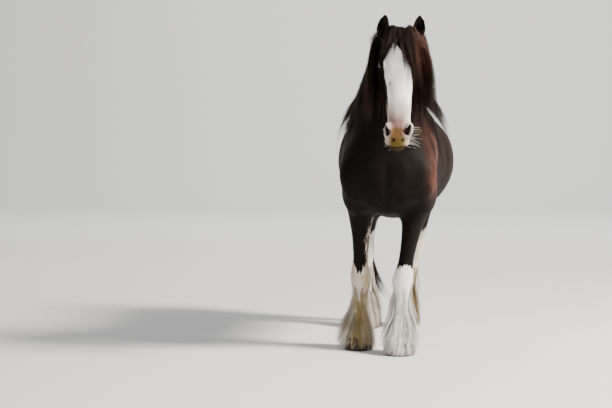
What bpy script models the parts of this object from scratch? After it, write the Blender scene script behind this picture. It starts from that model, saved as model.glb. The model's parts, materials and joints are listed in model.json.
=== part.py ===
"""A life-size Shire horse standing with its head up, in separate solids that meet face to face.

The horse looks along -Y, +X is its left side, and the four hooves stand flat on the floor at z = 0.
Lofts and rounded muscles are fused into one body, which thin gaps part into head, neck, trunk and legs.
Mane, forelock, tail and feather are flat, tapered locks that are fused with the part they grow from.
"""

import functools
import math
import random

import bmesh
import bpy
import numpy as np
from mathutils import Euler, Matrix, Vector
from mathutils.bvhtree import BVHTree

# Driving sizes, in metres. Heights are above the floor, y is behind the middle of the trunk.
WITHERS = 1.78
CROUP = 1.765
BACK = 1.705
BELLY = 0.915
BREAST = -0.965
BUTTOCK = 0.955
BARREL_HALF_WIDTH = 0.432
SHOULDER_HALF_WIDTH = 0.345
HEAD_LENGTH = 0.762
EAR_LENGTH = 0.190
EYE_RADIUS = 0.0235
EYE_PLACE = (0.1105, 0.036, -0.212)  # in the head's own frame, on its left
EYE_SLANT = -36.0  # degrees: the front corner of the eye is its lower one
EYE_OPENING = (0.0200, 0.0115)  # half of the length and half of the height between the lids
LID_THICKNESS = 0.0040
NOSTRIL = (0.071, 0.012, -0.648)  # its middle, in the head's own frame, on its left
HOOF_HALF_WIDTH = 0.094
FORWARD_SHIFT = 0.104  # brings the middle of the whole length over the origin

# The head hangs from the poll, tipped forward at the nose, turned and tilted a little.
POLL = Vector((0.095, -1.200, 2.185))
NOSE_FORWARD = math.radians(12.0)
HEAD_TURN = math.radians(1.5)
HEAD_TILT = math.radians(-0.5)
HEAD_PLACE = (
    Matrix.Translation(POLL)
    @ Matrix.Rotation(HEAD_TURN, 4, "Z")
    @ Matrix.Rotation(HEAD_TILT, 4, "Y")
    @ Matrix.Rotation(-NOSE_FORWARD, 4, "X")
)

# Each foreleg is a line through elbow, knee, fetlock and foot, each as (x, y).
FORE_HEIGHTS = (1.20, 1.02, 0.53, 0.205, 0.085)
FORE_LEGS = {
    "left": ((0.180, -0.56), (0.096, -0.655), (0.086, -0.700), (0.078, -0.755)),
    "right": ((-0.207, -0.54), (-0.215, -0.505), (-0.225, -0.475), (-0.228, -0.520)),
}
# Each hind leg is a line through hip, stifle, hock, fetlock and foot.
HIND_HEIGHTS = (1.30, 1.05, 0.62, 0.21, 0.085)
HIND_LEGS = {
    "left": ((0.150, 0.620), (0.160, 0.480), (0.110, 0.875), (0.022, 0.845), (0.020, 0.795)),
    "right": ((-0.250, 0.600), (-0.262, 0.460), (-0.285, 0.800), (-0.276, 0.755), (-0.275, 0.705)),
}

HIP_SWING = -0.052  # the quarters stand this far to the right of the chest

MANE_FROM = 0.13  # where the mane grows, as shares of the crest from the poll to the withers
MANE_TO = 0.88

GAP = 0.0003
VOXEL = 0.014
MERGE = 0.00002  # points closer than this become one
HEAD_TRIANGLES = 1300
MANE_SEED = 12
FORELOCK_SEED = 50
TAIL_SEED = 81
FEATHER_SEEDS = {"fore_leg_left": 31, "fore_leg_right": 32, "hind_leg_left": 28, "hind_leg_right": 25}

COLOURS = {
    "coat": ((0.020, 0.013, 0.010), 0.45),
    "white_hair": ((0.72, 0.66, 0.55), 0.75),
    "mane": ((0.030, 0.015, 0.010), 0.55),
    "horn": ((0.115, 0.095, 0.080), 0.55),
    "eye": ((0.012, 0.007, 0.005), 0.08),
}


def clear_scene():
    for obj in list(bpy.data.objects):
        bpy.data.objects.remove(obj)


def add_mesh(name, verts, faces):
    mesh = bpy.data.meshes.new(name)
    mesh.from_pydata([tuple(v) for v in verts], [], faces)
    obj = bpy.data.objects.new(name, mesh)
    bpy.context.scene.collection.objects.link(obj)
    return obj


def face_outwards(obj):
    bm = bmesh.new()
    bm.from_mesh(obj.data)
    bmesh.ops.recalc_face_normals(bm, faces=bm.faces)
    bm.to_mesh(obj.data)
    bm.free()


def in_triangles(obj):
    """Splits every face, so that a cutter made from this shape has exactly the same surface."""
    bm = bmesh.new()
    bm.from_mesh(obj.data)
    bmesh.ops.triangulate(bm, faces=bm.faces)
    bm.to_mesh(obj.data)
    bm.free()
    return obj


def apply_modifiers(obj):
    graph = bpy.context.evaluated_depsgraph_get()
    graph.update()
    mesh = bpy.data.meshes.new_from_object(obj.evaluated_get(graph))
    obj.modifiers.clear()
    obj.data = mesh
    return obj


def smooth_through(knots, values, at):
    """A curve through the values that never overshoots them (monotone cubic)."""
    knots, values = np.asarray(knots, float), np.asarray(values, float)
    span = np.diff(knots)[:, None]
    slope = np.diff(values, axis=0) / span
    tangent = np.zeros_like(values)
    before, after = slope[:-1], slope[1:]
    w_before, w_after = 2 * span[1:] + span[:-1], span[1:] + 2 * span[:-1]
    safe = np.where(before * after > 0, 1.0, np.nan)
    mean = (w_before + w_after) / (w_before / (before * safe) + w_after / (after * safe))
    tangent[1:-1] = np.nan_to_num(mean)
    tangent[0], tangent[-1] = slope[0], slope[-1]
    i = np.clip(np.searchsorted(knots, at, side="right") - 1, 0, len(knots) - 2)
    t = ((at - knots[i]) / span[i, 0])[:, None]
    return (
        values[i] * (2 * t**3 - 3 * t**2 + 1)
        + values[i + 1] * (3 * t**2 - 2 * t**3)
        + tangent[i] * span[i] * (t**3 - 2 * t**2 + t)
        + tangent[i + 1] * span[i] * (t**3 - t**2)
    )


def skin_rings(name, rings, place=None):
    """A closed tube over rings that all have the same number of points."""
    verts = np.concatenate(rings)
    count = len(rings[0])
    faces = []
    for i in range(len(rings) - 1):
        for j in range(count):
            k = (j + 1) % count
            faces.append((i * count + j, i * count + k, (i + 1) * count + k, (i + 1) * count + j))
    faces.append(tuple(range(count))[::-1])
    faces.append(tuple((len(rings) - 1) * count + j for j in range(count)))
    obj = add_mesh(name, verts, faces)
    if place is not None:
        obj.data.transform(place)
    face_outwards(obj)
    return obj


def rounded(angles, power):
    """Cosine and sine of a superellipse: power 2 is round, more is squarer."""
    cos, sin = np.cos(angles), np.sin(angles)
    return (
        np.sign(cos) * np.abs(cos) ** (2 / power),
        np.sign(sin) * np.abs(sin) ** (2 / power),
    )


def spaced(rows, step):
    rows = np.array(rows, float)
    lengths = np.linalg.norm(np.diff(rows[:, :3], axis=0), axis=1)
    run = np.concatenate([[0.0], np.cumsum(lengths)])
    count = max(6, round(run[-1] / step))
    return smooth_through(run, rows, np.linspace(0, run[-1], count))


def slanted_loft(name, rows, sides, step):
    """Rows: x, y, z, lean, half width, half height, top power, low power. Lean tips the section's top back."""
    angles = np.linspace(0, 2 * np.pi, sides, endpoint=False)
    rings = []
    for x, y, z, lean, width, height, top, low in spaced(rows, step):
        across, up = rounded(angles, np.where(np.sin(angles) > 0, top, low))
        ring = np.empty((sides, 3))
        ring[:, 0] = x + across * width
        ring[:, 1] = y + up * height * math.sin(lean)
        ring[:, 2] = z + up * height * math.cos(lean)
        rings.append(ring)
    return skin_rings(name, rings)


def level_loft(name, rows, sides, step, place=None):
    """Rows: x, y, z, half width, reach to the front, reach to the back, power. Sections are level."""
    angles = np.linspace(0, 2 * np.pi, sides, endpoint=False)
    rings = []
    for x, y, z, width, front, back, power in spaced(rows, step):
        across, along = rounded(angles, power)
        ring = np.empty((sides, 3))
        ring[:, 0] = x + across * width
        ring[:, 1] = y + along * np.where(along > 0, back, front)
        ring[:, 2] = z
        rings.append(ring)
    return skin_rings(name, rings, place)


def muscle(name, centre, radii, turn=(0, 0, 0), place=None, rings=16):
    """An ellipsoid with its own turn in degrees."""
    bm = bmesh.new()
    bmesh.ops.create_uvsphere(bm, u_segments=rings * 3 // 2, v_segments=rings, radius=1.0)
    obj = add_mesh(name, [], [])
    bm.to_mesh(obj.data)
    bm.free()
    spin = Euler([math.radians(angle) for angle in turn]).to_matrix().to_4x4()
    shape = Matrix.Translation(centre) @ spin @ Matrix.Diagonal((*radii, 1))
    obj.data.transform(shape if place is None else place @ shape)
    return obj


def muscle_pair(name, centre, radii, turn=(0, 0, 0), place=None, rings=16):
    x, y, z = centre
    around_x, around_y, around_z = turn
    return [
        muscle(name + "_left", (x + swing(y), y, z), radii, turn, place, rings),
        muscle(name + "_right", (swing(y) - x, y, z), radii, (around_x, -around_y, -around_z), place, rings),
    ]


def swing(y):
    """How far the middle of the trunk lies to the side at y: nothing at the chest, all of it at the croup."""
    t = min(1.0, max(0.0, (y - 0.05) / 0.65))
    return HIP_SWING * t * t * (3 - 2 * t)


def trunk_forms():
    # y, top, bottom, half width, power of the top half
    sections = (
        (BREAST, 1.36, 1.14, 0.120, 2.0),
        (-0.91, 1.48, 1.05, 0.240, 2.2),
        (-0.80, 1.62, 0.97, 0.315, 2.2),
        (-0.64, 1.74, 0.950, 0.335, 2.0),
        (-0.46, WITHERS, 0.940, SHOULDER_HALF_WIDTH, 1.8),
        (-0.28, 1.76, 0.925, 0.375, 1.9),
        (-0.05, 1.72, BELLY - 0.005, 0.425, 2.2),
        (0.18, BACK, BELLY, BARREL_HALF_WIDTH, 2.3),
        (0.38, 1.725, 0.95, 0.410, 2.3),
        (0.56, CROUP, 1.00, 0.375, 2.2),
        (0.74, 1.755, 1.08, 0.345, 2.2),
        (0.88, 1.69, 1.20, 0.275, 2.2),
        (BUTTOCK, 1.58, 1.34, 0.150, 2.1),
    )
    rows = [
        (swing(y), y, (top + low) / 2, 0, width, (top - low) / 2, power, 1.8)
        for y, top, low, width, power in sections
    ]
    return [slanted_loft("barrel", rows, 40, 0.04)]


def neck_rows():
    # x, crest (y, z), throat (y, z), half width, power of the crest
    sections = (
        (0.000, (-0.26, 1.660), (-0.800, 1.080), 0.310, 1.90),
        (0.000, (-0.42, 1.785), (-0.930, 1.250), 0.280, 1.75),
        (0.015, (-0.58, 1.915), (-0.955, 1.420), 0.222, 1.70),
        (0.038, (-0.75, 2.045), (-0.945, 1.585), 0.172, 1.70),
        (0.064, (-0.92, 2.150), (-0.930, 1.720), 0.138, 1.75),
        (0.086, (-1.07, 2.208), (-0.950, 1.830), 0.115, 1.90),
        (0.095, (-1.16, 2.205), (-1.010, 1.900), 0.098, 2.00),
    )
    rows = []
    for x, (top_y, top_z), (low_y, low_z), width, power in sections:
        height = math.hypot(top_y - low_y, top_z - low_z) / 2
        lean = math.atan2(top_y - low_y, top_z - low_z)
        rows.append((x, (top_y + low_y) / 2, (top_z + low_z) / 2, lean, width, height, power, 2.1))
    return rows


def head_forms():
    # Distance down the face, front line, back line, half width, power: the skull, then the lower jaw.
    skull = (
        (-0.012, 0.045, 0.120, 0.050, 2.2),
        (0.020, 0.012, 0.160, 0.084, 2.3),
        (0.080, -0.012, 0.200, 0.102, 2.4),
        (0.150, -0.022, 0.235, 0.113, 2.5),
        (0.230, -0.020, 0.250, 0.116, 2.6),
        (0.320, -0.008, 0.235, 0.104, 2.6),
        (0.420, 0.006, 0.205, 0.090, 2.6),
        (0.520, 0.014, 0.175, 0.081, 2.6),
        (0.595, 0.015, 0.166, 0.081, 2.5),
        (0.650, 0.012, 0.165, 0.085, 2.4),
        (0.695, 0.008, 0.158, 0.082, 2.3),
        (0.728, 0.014, 0.146, 0.071, 2.2),
        (0.748, 0.027, 0.130, 0.057, 2.1),
        (HEAD_LENGTH, 0.050, 0.110, 0.035, 2.0),
    )
    jaw = (
        (0.080, 0.140, 0.240, 0.055, 2.2),
        (0.150, 0.120, 0.300, 0.078, 2.2),
        (0.240, 0.100, 0.335, 0.088, 2.2),
        (0.330, 0.100, 0.322, 0.084, 2.2),
        (0.420, 0.100, 0.272, 0.070, 2.2),
        (0.520, 0.100, 0.226, 0.056, 2.2),
        (0.620, 0.100, 0.202, 0.050, 2.2),
        (0.675, 0.100, 0.195, 0.052, 2.2),
        (0.712, 0.110, 0.184, 0.048, 2.1),
        (0.732, 0.130, 0.168, 0.030, 2.0),
    )
    made = []
    for name, sections in (("skull", skull), ("jaw", jaw)):
        rows = [
            (0, (front + back) / 2, -down, width, (back - front) / 2, (back - front) / 2, power)
            for down, front, back, width, power in sections
        ]
        made.append(level_loft(name, rows, 32, 0.015, HEAD_PLACE))
    at = HEAD_PLACE
    made += muscle_pair("orbit", (0.100, 0.048, -0.205), (0.038, 0.046, 0.052), (0, 0, 0), at)
    made += muscle_pair("cheekbone", (0.087, 0.080, -0.315), (0.020, 0.024, 0.150), (4, 8, 0), at)
    made += muscle_pair("masseter", (0.068, 0.205, -0.270), (0.036, 0.115, 0.135), (0, 0, 0), at)
    made += muscle_pair("nostril_rim", (0.062, 0.038, -0.652), (0.034, 0.038, 0.062), (8, 10, 0), at)
    made.append(muscle("upper_lip", (0, 0.072, -0.724), (0.070, 0.058, 0.040), (0, 0, 0), at))
    made.append(muscle("lower_lip", (0, 0.126, -0.738), (0.046, 0.044, 0.029), (0, 0, 0), at))
    made.append(muscle("chin", (0, 0.168, -0.700), (0.042, 0.036, 0.036), (0, 0, 0), at))
    return made


def shoulder_forms():
    made = []
    made += muscle_pair("scapula", (0.185, -0.60, 1.44), (0.145, 0.20, 0.34), (-30, -8, 0))
    made += muscle_pair("shoulder_point", (0.195, -0.80, 1.25), (0.150, 0.130, 0.20), (-8, 0, 0))
    made += muscle_pair("pectoral", (0.105, -0.840, 1.17), (0.125, 0.110, 0.15), (-12, 0, 0))
    made += muscle_pair("upper_arm", (0.220, -0.66, 1.13), (0.120, 0.20, 0.18), (-25, 0, 0))
    made += muscle_pair("triceps", (0.225, -0.52, 1.17), (0.110, 0.17, 0.21), (15, 0, 0))
    return made


def quarter_forms():
    made = []
    made += muscle_pair("gluteal", (0.165, 0.60, 1.47), (0.200, 0.36, 0.275), (-14, 0, 0))
    made += muscle_pair("thigh", (0.200, 0.62, 1.24), (0.155, 0.25, 0.34), (-14, 4, 0))
    made += muscle_pair("buttock", (0.130, 0.83, 1.36), (0.125, 0.14, 0.27), (-10, 0, 0))
    made += muscle_pair("stifle", (0.215, 0.47, 1.12), (0.105, 0.12, 0.17), (-10, 0, 0))
    made += muscle_pair("inner_thigh", (0.120, 0.68, 1.10), (0.105, 0.20, 0.22), (-20, 0, 0))
    return made


def fore_line(side, z):
    """The middle of a foreleg at height z."""
    elbow, knee, fetlock, foot = FORE_LEGS[side]
    outward = 1 if side == "left" else -1
    top = (0.200 * outward, elbow[1] - 0.06)
    places = np.array((top, elbow, knee, fetlock, foot))
    heights = -np.array(FORE_HEIGHTS)
    return tuple(float(np.interp(-z, heights, places[:, axis])) for axis in (0, 1))


def hind_line(side, z):
    """The middle of a hind leg at height z: it slopes back from the stifle to the hock."""
    hip, stifle, hock, fetlock, foot = HIND_LEGS[side]
    x = float(np.interp(-z, -np.array(HIND_HEIGHTS), [p[0] for p in (hip, stifle, hock, fetlock, foot)]))
    heights = (1.30, 1.14, 1.02, 0.92, 0.82, 0.75, 0.70, 0.64, 0.58, 0.21, 0.155, 0.112, 0.085)
    ys = (
        stifle[1] + 0.16,
        stifle[1] + 0.12,
        stifle[1] + 0.14,
        stifle[1] + 0.20,
        stifle[1] + 0.27,
        hock[1] - 0.062,
        hock[1] - 0.024,
        hock[1] - 0.004,
        hock[1],
        fetlock[1],
        0.6 * fetlock[1] + 0.4 * foot[1],
        0.2 * fetlock[1] + 0.8 * foot[1],
        foot[1],
    )
    return x, float(np.interp(-z, -np.array(heights), ys))


# Height, half width, reach to the front and to the back, power.
FORE_SECTIONS = (
    (1.200, 0.120, 0.180, 0.180, 2.2),
    (1.060, 0.112, 0.160, 0.165, 2.2),
    (0.950, 0.092, 0.140, 0.144, 2.1),
    (0.860, 0.074, 0.120, 0.122, 2.1),
    (0.760, 0.061, 0.096, 0.094, 2.1),
    (0.640, 0.055, 0.074, 0.071, 2.2),
    (0.575, 0.066, 0.076, 0.068, 2.4),
    (0.520, 0.074, 0.076, 0.070, 2.5),
    (0.475, 0.068, 0.068, 0.070, 2.4),
    (0.430, 0.055, 0.058, 0.062, 2.2),
    (0.340, 0.049, 0.053, 0.060, 2.1),
    (0.270, 0.050, 0.053, 0.062, 2.1),
    (0.225, 0.060, 0.060, 0.072, 2.1),
    (0.195, 0.064, 0.064, 0.074, 2.1),
    (0.150, 0.060, 0.062, 0.064, 2.1),
    (0.110, 0.070, 0.070, 0.064, 2.1),
    (0.085, 0.076, 0.076, 0.068, 2.1),
    (0.055, 0.076, 0.076, 0.068, 2.1),
)
HIND_SECTIONS = (
    (1.300, 0.130, 0.200, 0.200, 2.1),
    (1.140, 0.125, 0.180, 0.200, 2.1),
    (1.020, 0.112, 0.160, 0.180, 2.1),
    (0.920, 0.095, 0.138, 0.150, 2.1),
    (0.820, 0.077, 0.108, 0.118, 2.1),
    (0.750, 0.066, 0.082, 0.108, 2.1),
    (0.700, 0.064, 0.078, 0.106, 2.2),
    (0.640, 0.068, 0.086, 0.088, 2.4),
    (0.580, 0.064, 0.080, 0.078, 2.4),
    (0.510, 0.053, 0.064, 0.070, 2.1),
    (0.420, 0.047, 0.057, 0.063, 2.1),
    (0.300, 0.049, 0.056, 0.064, 2.1),
    (0.235, 0.060, 0.062, 0.074, 2.1),
    (0.205, 0.064, 0.066, 0.076, 2.1),
    (0.155, 0.059, 0.062, 0.064, 2.1),
    (0.112, 0.069, 0.069, 0.064, 2.1),
    (0.085, 0.075, 0.075, 0.068, 2.1),
    (0.055, 0.075, 0.075, 0.068, 2.1),
)


def leg_forms():
    made = []
    for side in ("left", "right"):
        for line, sections in ((fore_line, FORE_SECTIONS), (hind_line, HIND_SECTIONS)):
            rows = [(*line(side, z), z, width, front, back, power) for z, width, front, back, power in sections]
            made.append(level_loft("leg", rows, 24, 0.015))
        hock_x, hock_y = HIND_LEGS[side][2]
        made.append(muscle("hock_point", (hock_x, hock_y + 0.040, 0.715), (0.034, 0.036, 0.105), (24, 0, 0)))
    return made


def softness(points):
    """How far the fairing may move each point: all on the trunk, little on the head and the lower legs."""
    y, z = points[:, 1], points[:, 2]
    head = np.where(z > 1.4, np.clip((y + 1.02) / 0.12, 0.12, 1), 1)
    return head * np.clip((z - 0.72) / 0.3, 0.12, 1)


def fair(obj, rounds):
    """Draws each point towards the middle of its neighbours and part of the way back, which fairs the creases."""
    mesh = obj.data
    count = len(mesh.vertices)
    points = np.empty(count * 3)
    mesh.vertices.foreach_get("co", points)
    points = points.reshape(-1, 3)
    ends = np.empty(len(mesh.edges) * 2, np.int64)
    mesh.edges.foreach_get("vertices", ends)
    ends = ends.reshape(-1, 2)
    here = np.concatenate([ends[:, 0], ends[:, 1]])
    there = np.concatenate([ends[:, 1], ends[:, 0]])
    degree = np.bincount(here, minlength=count)[:, None]
    weight = softness(points)[:, None]
    for amount in [0.6, -0.25] * rounds:
        sums = [np.bincount(here, weights=points[there, axis], minlength=count) for axis in range(3)]
        points = points + (np.stack(sums, 1) / degree - points) * amount * weight
    mesh.vertices.foreach_set("co", points.astype(np.float32).ravel())
    mesh.update()


def fuse_body():
    """All the flesh as one closed surface."""
    neck = slanted_loft("neck_form", neck_rows(), 36, 0.03)
    forms = trunk_forms() + [neck] + head_forms() + shoulder_forms() + quarter_forms() + leg_forms()
    body = join("body", forms)
    remesh = body.modifiers.new("fuse", "REMESH")
    remesh.mode = "VOXEL"
    remesh.voxel_size = VOXEL
    apply_modifiers(body)
    fair(body, 45)
    return body


def join(name, objects):
    """One object that holds the shapes of them all, still as separate shells."""
    bm = bmesh.new()
    for obj in objects:
        bm.from_mesh(obj.data)
    joined = add_mesh(name, [], [])
    bm.to_mesh(joined.data)
    bm.free()
    for obj in objects:
        bpy.data.objects.remove(obj)
    return joined


def copy_of(obj, name):
    twin = obj.copy()
    twin.data = obj.data.copy()
    twin.name = name
    bpy.context.scene.collection.objects.link(twin)
    return twin


def combine(obj, operation, others, solver="MANIFOLD"):
    """Joins the others to obj, cuts them from it, or keeps what they share, and removes them."""
    group = bpy.data.collections.new("operands")
    bpy.context.scene.collection.children.link(group)
    for other in others:
        group.objects.link(other)
    boolean = obj.modifiers.new(operation, "BOOLEAN")
    boolean.operation = operation
    boolean.operand_type = "COLLECTION"
    boolean.collection = group
    boolean.solver = solver
    apply_modifiers(obj)
    for other in others:
        bpy.data.objects.remove(other)
    bpy.data.collections.remove(group)
    return obj


def box(name, low, high, turn=(0, 0, 0), pivot=(0, 0, 0)):
    """A box between two corners, then turned about the pivot, in degrees."""
    bm = bmesh.new()
    bmesh.ops.create_cube(bm, size=1.0)
    obj = add_mesh(name, [], [])
    bm.to_mesh(obj.data)
    bm.free()
    low, high = Vector(low), Vector(high)
    size = high - low
    obj.data.transform(Matrix.Translation((low + high) / 2) @ Matrix.Diagonal((*size, 1)))
    spin = Euler([math.radians(angle) for angle in turn]).to_matrix().to_4x4()
    obj.data.transform(Matrix.Translation(pivot) @ spin)
    return obj


def grown(obj, by=GAP):
    """A copy whose skin stands out by a little, to cut a neighbour with a gap."""
    twin = copy_of(obj, obj.name + "_grown")
    swell = twin.modifiers.new("grow", "DISPLACE")
    swell.strength = by
    swell.mid_level = 0.0
    return apply_modifiers(twin)


def keep_largest(obj):
    """Keeps the closed surface with the largest volume, which drops scraps and sealed hollows."""
    bm = bmesh.new()
    bm.from_mesh(obj.data)
    bmesh.ops.remove_doubles(bm, verts=bm.verts, dist=MERGE)
    bmesh.ops.triangulate(bm, faces=bm.faces)
    left = set(bm.faces)
    islands = []
    while left:
        island, front = [], [left.pop()]
        while front:
            face = front.pop()
            island.append(face)
            for edge in face.edges:
                for near in edge.link_faces:
                    if near in left:
                        left.remove(near)
                        front.append(near)
        volume = sum(f.verts[0].co.dot(f.verts[1].co.cross(f.verts[2].co)) for f in island) / 6
        islands.append((volume, island))
    islands.sort(key=lambda pair: pair[0])
    for _, island in islands[:-1]:
        bmesh.ops.delete(bm, geom=island, context="FACES")
    bmesh.ops.delete(bm, geom=[v for v in bm.verts if not v.link_faces], context="VERTS")
    bm.to_mesh(obj.data)
    bm.free()
    return obj


def thin_out(obj, triangles):
    """Collapses the mesh to about this many triangles."""
    now = sum(len(p.vertices) - 2 for p in obj.data.polygons)
    decimate = obj.modifiers.new("thin", "DECIMATE")
    decimate.ratio = min(1.0, triangles / now)
    return apply_modifiers(obj)


def part_from(body, name, region, triangles, margin_region):
    """Takes the flesh inside region: first a rough piece with a margin, thinned out, then the exact cut."""
    piece = combine(copy_of(body, name), "INTERSECT", [margin_region])
    thin_out(piece, triangles)
    keep_largest(piece)
    combine(piece, "INTERSECT", [region])
    return keep_largest(piece)


# Where the parts meet.
NECK_FOOT = (-0.70, 1.575)  # a point (y, z) on the plane between neck and trunk
NECK_SLOPE = 41.0  # degrees: that plane rises from the breast to the withers
NAPE = (-1.085, 2.22)  # a point on the plane between head and neck, behind the ears
NAPE_SLOPE = 27.8
THROAT = (-0.985, 1.805)
# Middle of the pair, height of the armpit or groin, rise of the cut to the outside, front and back
FORE_CUT = (0.0, 0.050, 0.925, 0.36, -0.745, -0.375)
HIND_CUT = (-0.055, 0.012, 1.010, 0.34, 0.365, 1.400)
LEG_TOP = 0.865  # below this height the whole leg stands clear
FAR = 3.0


def neck_region(above, by=0.0):
    """The space above (or below) the sloping plane at the foot of the neck, held back by a distance."""
    turn = (NECK_SLOPE, 0, 0)
    pivot = (0, *NECK_FOOT)
    if above:
        return box("above", (-FAR, -FAR, by), (FAR, FAR, FAR), turn, pivot)
    return box("below", (-FAR, -FAR, -FAR), (FAR, FAR, -by), turn, pivot)


def head_region(by=0.0):
    """The space of the head: in front of the nape's plane, and all that is in front of the throat."""
    upper = box("nape", (-FAR, -FAR, -0.55), (FAR, by, FAR), (NAPE_SLOPE, 0, 0), (0, *NAPE))
    floor = box("under_throat", (-FAR, -FAR, -FAR), (FAR, FAR, THROAT[1] - by))
    upper = combine(upper, "DIFFERENCE", [floor])
    front = box("front", (-FAR, -FAR, 0), (FAR, THROAT[0] + by, FAR))
    return combine(upper, "UNION", [front])


def prism(name, outline, front, back):
    """A solid with an outline of (x, z) points that runs from front to back."""
    count = len(outline)
    verts = [(x, y, z) for y in (front, back) for x, z in outline]
    faces = [tuple(range(count)), tuple(range(count, 2 * count))[::-1]]
    faces += [(i, (i + 1) % count, count + (i + 1) % count, count + i) for i in range(count)]
    obj = add_mesh(name, verts, faces)
    face_outwards(obj)
    return obj


def leg_region(side, fore, by=0.0):
    """The space of one leg: all below the trunk on its side, and a wedge of the trunk that rises outwards."""
    outward = 1 if side == "left" else -1
    middle, inner, armpit, rise, front, back = FORE_CUT if fore else HIND_CUT
    outer = 0.9
    near, low = inner - by, LEG_TOP - 0.1
    outline = [
        (near, low),
        (outer, low),
        (outer, armpit + rise * (outer - inner) + by),
        (near, armpit + by),
    ]
    upper = prism("upper", [(middle + outward * x, z) for x, z in outline], front - by, back + by)
    divide = -0.065 if fore else -0.115
    ends = (-1.3, 0.1) if fore else (0.2, 1.5)
    across = sorted((divide + outward * 0.002, outward * (outer + 0.1)))
    lower = box("lower", (across[0], ends[0], -0.2), (across[1], ends[1], LEG_TOP))
    return combine(upper, "UNION", [lower])


def surface_of(obj):
    bm = bmesh.new()
    bm.from_mesh(obj.data)
    tree = BVHTree.FromBMesh(bm)
    bm.free()
    return tree


def pushed_out(tree, point, clearance):
    """The point, moved to at least this far outside the surface, and the surface's normal there."""
    near, normal, _, _ = tree.find_nearest(point)
    height = (point - near).dot(normal)
    if height < clearance:
        point = near + normal * clearance
    return point, normal


def hang(tree, root, start, length, clearance, lift, sway=0.0, phase=0.0, steps=5, pull=0.62):
    """The path of a lock that leaves its root in a direction, then falls and lies on the body.

    Its middle line keeps the clearance from the skin, and the lift more than that at the tip.
    """
    step = length / steps
    side = Vector((0, 0, 1)).cross(start).normalized()
    point, direction = root.copy(), start.normalized()
    points, normals = [point.copy()], [tree.find_nearest(root)[1]]
    for k in range(1, steps + 1):
        if k > 1:
            direction = (direction * (1 - pull) + Vector((0, 0, -1)) * pull).normalized()
        aside = side * math.cos(phase + 5.0 * k / steps) * sway
        point, normal = pushed_out(tree, point + (direction + aside) * step, clearance + lift * k / steps)
        direction = (point - points[-1]).normalized()
        points.append(point)
        normals.append(normal)
    return points, normals, side


def lock(name, points, normals, side, width, thick, root_width=0.55, floor=0.006):
    """A flat lock along a path, lens-shaped in section, that stays broad and then tapers to its tip.

    Its width runs along side at the root, and turns to lie flat on the skin further out.
    """
    count = len(points)
    rings = []
    for k, point in enumerate(points):
        along = (points[min(k + 1, count - 1)] - points[max(k - 1, 0)]).normalized()
        flat = along.cross(normals[k])
        if flat.dot(side) < 0:
            flat = -flat
        across = side.lerp(flat.normalized(), 0.3 * min(k, 2)) if flat.length > 0.3 else side
        across = (across - along * across.dot(along)).normalized()
        out = along.cross(across)
        t = k / (count - 1)
        swell = root_width + (1 - root_width) * math.sin(min(t * 2.2, 1.0) * math.pi / 2)
        half, deep = width * swell * (1 - 0.94 * t**3.2) / 2, thick * (1 - 0.72 * t) / 2
        ring = [point + across * half, point + out * deep, point - across * half, point - out * deep]
        rings.append([Vector((p.x, p.y, max(p.z, floor))) for p in ring])
    return skin_rings(name, [np.array(ring) for ring in rings])


def between(draw, low, high):
    return low + (high - low) * draw.random()


def crest_point(u):
    """A point on the crest from the poll (0) to the withers (1), with the neck's lean there."""
    rows = spaced(neck_rows()[1:], 0.03)[::-1]
    at = min(len(rows) - 1, round(u * (len(rows) - 1)))
    x, y, z, lean, _, height, _, _ = rows[at]
    return Vector((x, y + height * math.sin(lean), z + height * math.cos(lean)))


def mane_locks(tree):
    """Both sides of the mane. Every second lock lies over its neighbours and is a little shorter."""
    draw = random.Random(MANE_SEED)
    made = []
    count = 11
    for outward in (1, -1):
        for i in range(count):
            over = i % 2
            u = MANE_FROM + (MANE_TO - MANE_FROM) * (i + between(draw, -0.12, 0.12)) / (count - 1)
            root = crest_point(u) + Vector((outward * (0.012 + 0.010 * over), 0, -0.042))
            length = 0.70 - 0.12 * u - 0.10 * over + between(draw, -0.05, 0.05)
            back = 0.36 * (u - 0.45) + between(draw, -0.06, 0.06)
            # The hair on the horse's left stands out further, and that on its right lies closer
            loose = 0.022 if outward > 0 else -0.004
            start = Vector((outward * (0.70 + 12 * loose), back, 0.28 - 0.20 * (1 - u) ** 2 + 0.12 * over))
            clearance = 0.018 + loose + 0.026 * over
            path = hang(tree, root, start, length, clearance, 0.030 + 0.5 * loose, 0.08, between(draw, 0, 6), pull=0.72)
            made.append(lock("mane", *path, between(draw, 0.122, 0.138), 0.032))
    return made


def drape(tree, root, middle, tip, clearance, steps=5):
    """The path of a lock along a bow through three places of the head's frame, kept clear of the skin."""
    points, normals = [], []
    for k in range(steps + 1):
        t = k / steps
        bow = Vector(root) * (1 - t) ** 2 + Vector(middle) * 2 * t * (1 - t) + Vector(tip) * t**2
        point, normal = pushed_out(tree, HEAD_PLACE @ bow, clearance * min(1.0, 0.35 + 3 * t))
        points.append(point)
        normals.append(normal)
    return points, normals


def forelock_locks(tree):
    """From between the ears over the forehead, most of it swept over the horse's left eye and cheek."""
    draw = random.Random(FORELOCK_SEED)
    # How far to the side the tip hangs, how far down, and whether the lock lies over its neighbours
    plan = (
        (-0.125, 0.20, False),
        (-0.090, 0.17, True),
        (-0.050, 0.13, False),
        (0.000, 0.13, True),
        (0.038, 0.20, False),
        (0.072, 0.26, True),
        (0.105, 0.32, False),
        (0.138, 0.37, True),
        (0.170, 0.34, False),
    )
    made = []
    for side, down, over in plan:
        across = 0.035 * side / 0.12
        root = (across, 0.064 - 0.010 * over, -0.022)
        middle = (across + 0.40 * side, -0.030, 0.108 - 0.10 * down + 0.010 * over)
        tip = (side, max(0.0, abs(side) - 0.09) - 0.01, -down)
        points, normals = drape(tree, root, middle, tip, 0.010 + 0.018 * over)
        across_way = HEAD_PLACE.to_3x3() @ Vector((1, 0, 0))
        made.append(lock("forelock", points, normals, across_way, between(draw, 0.074, 0.084), 0.020))
    return made


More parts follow.
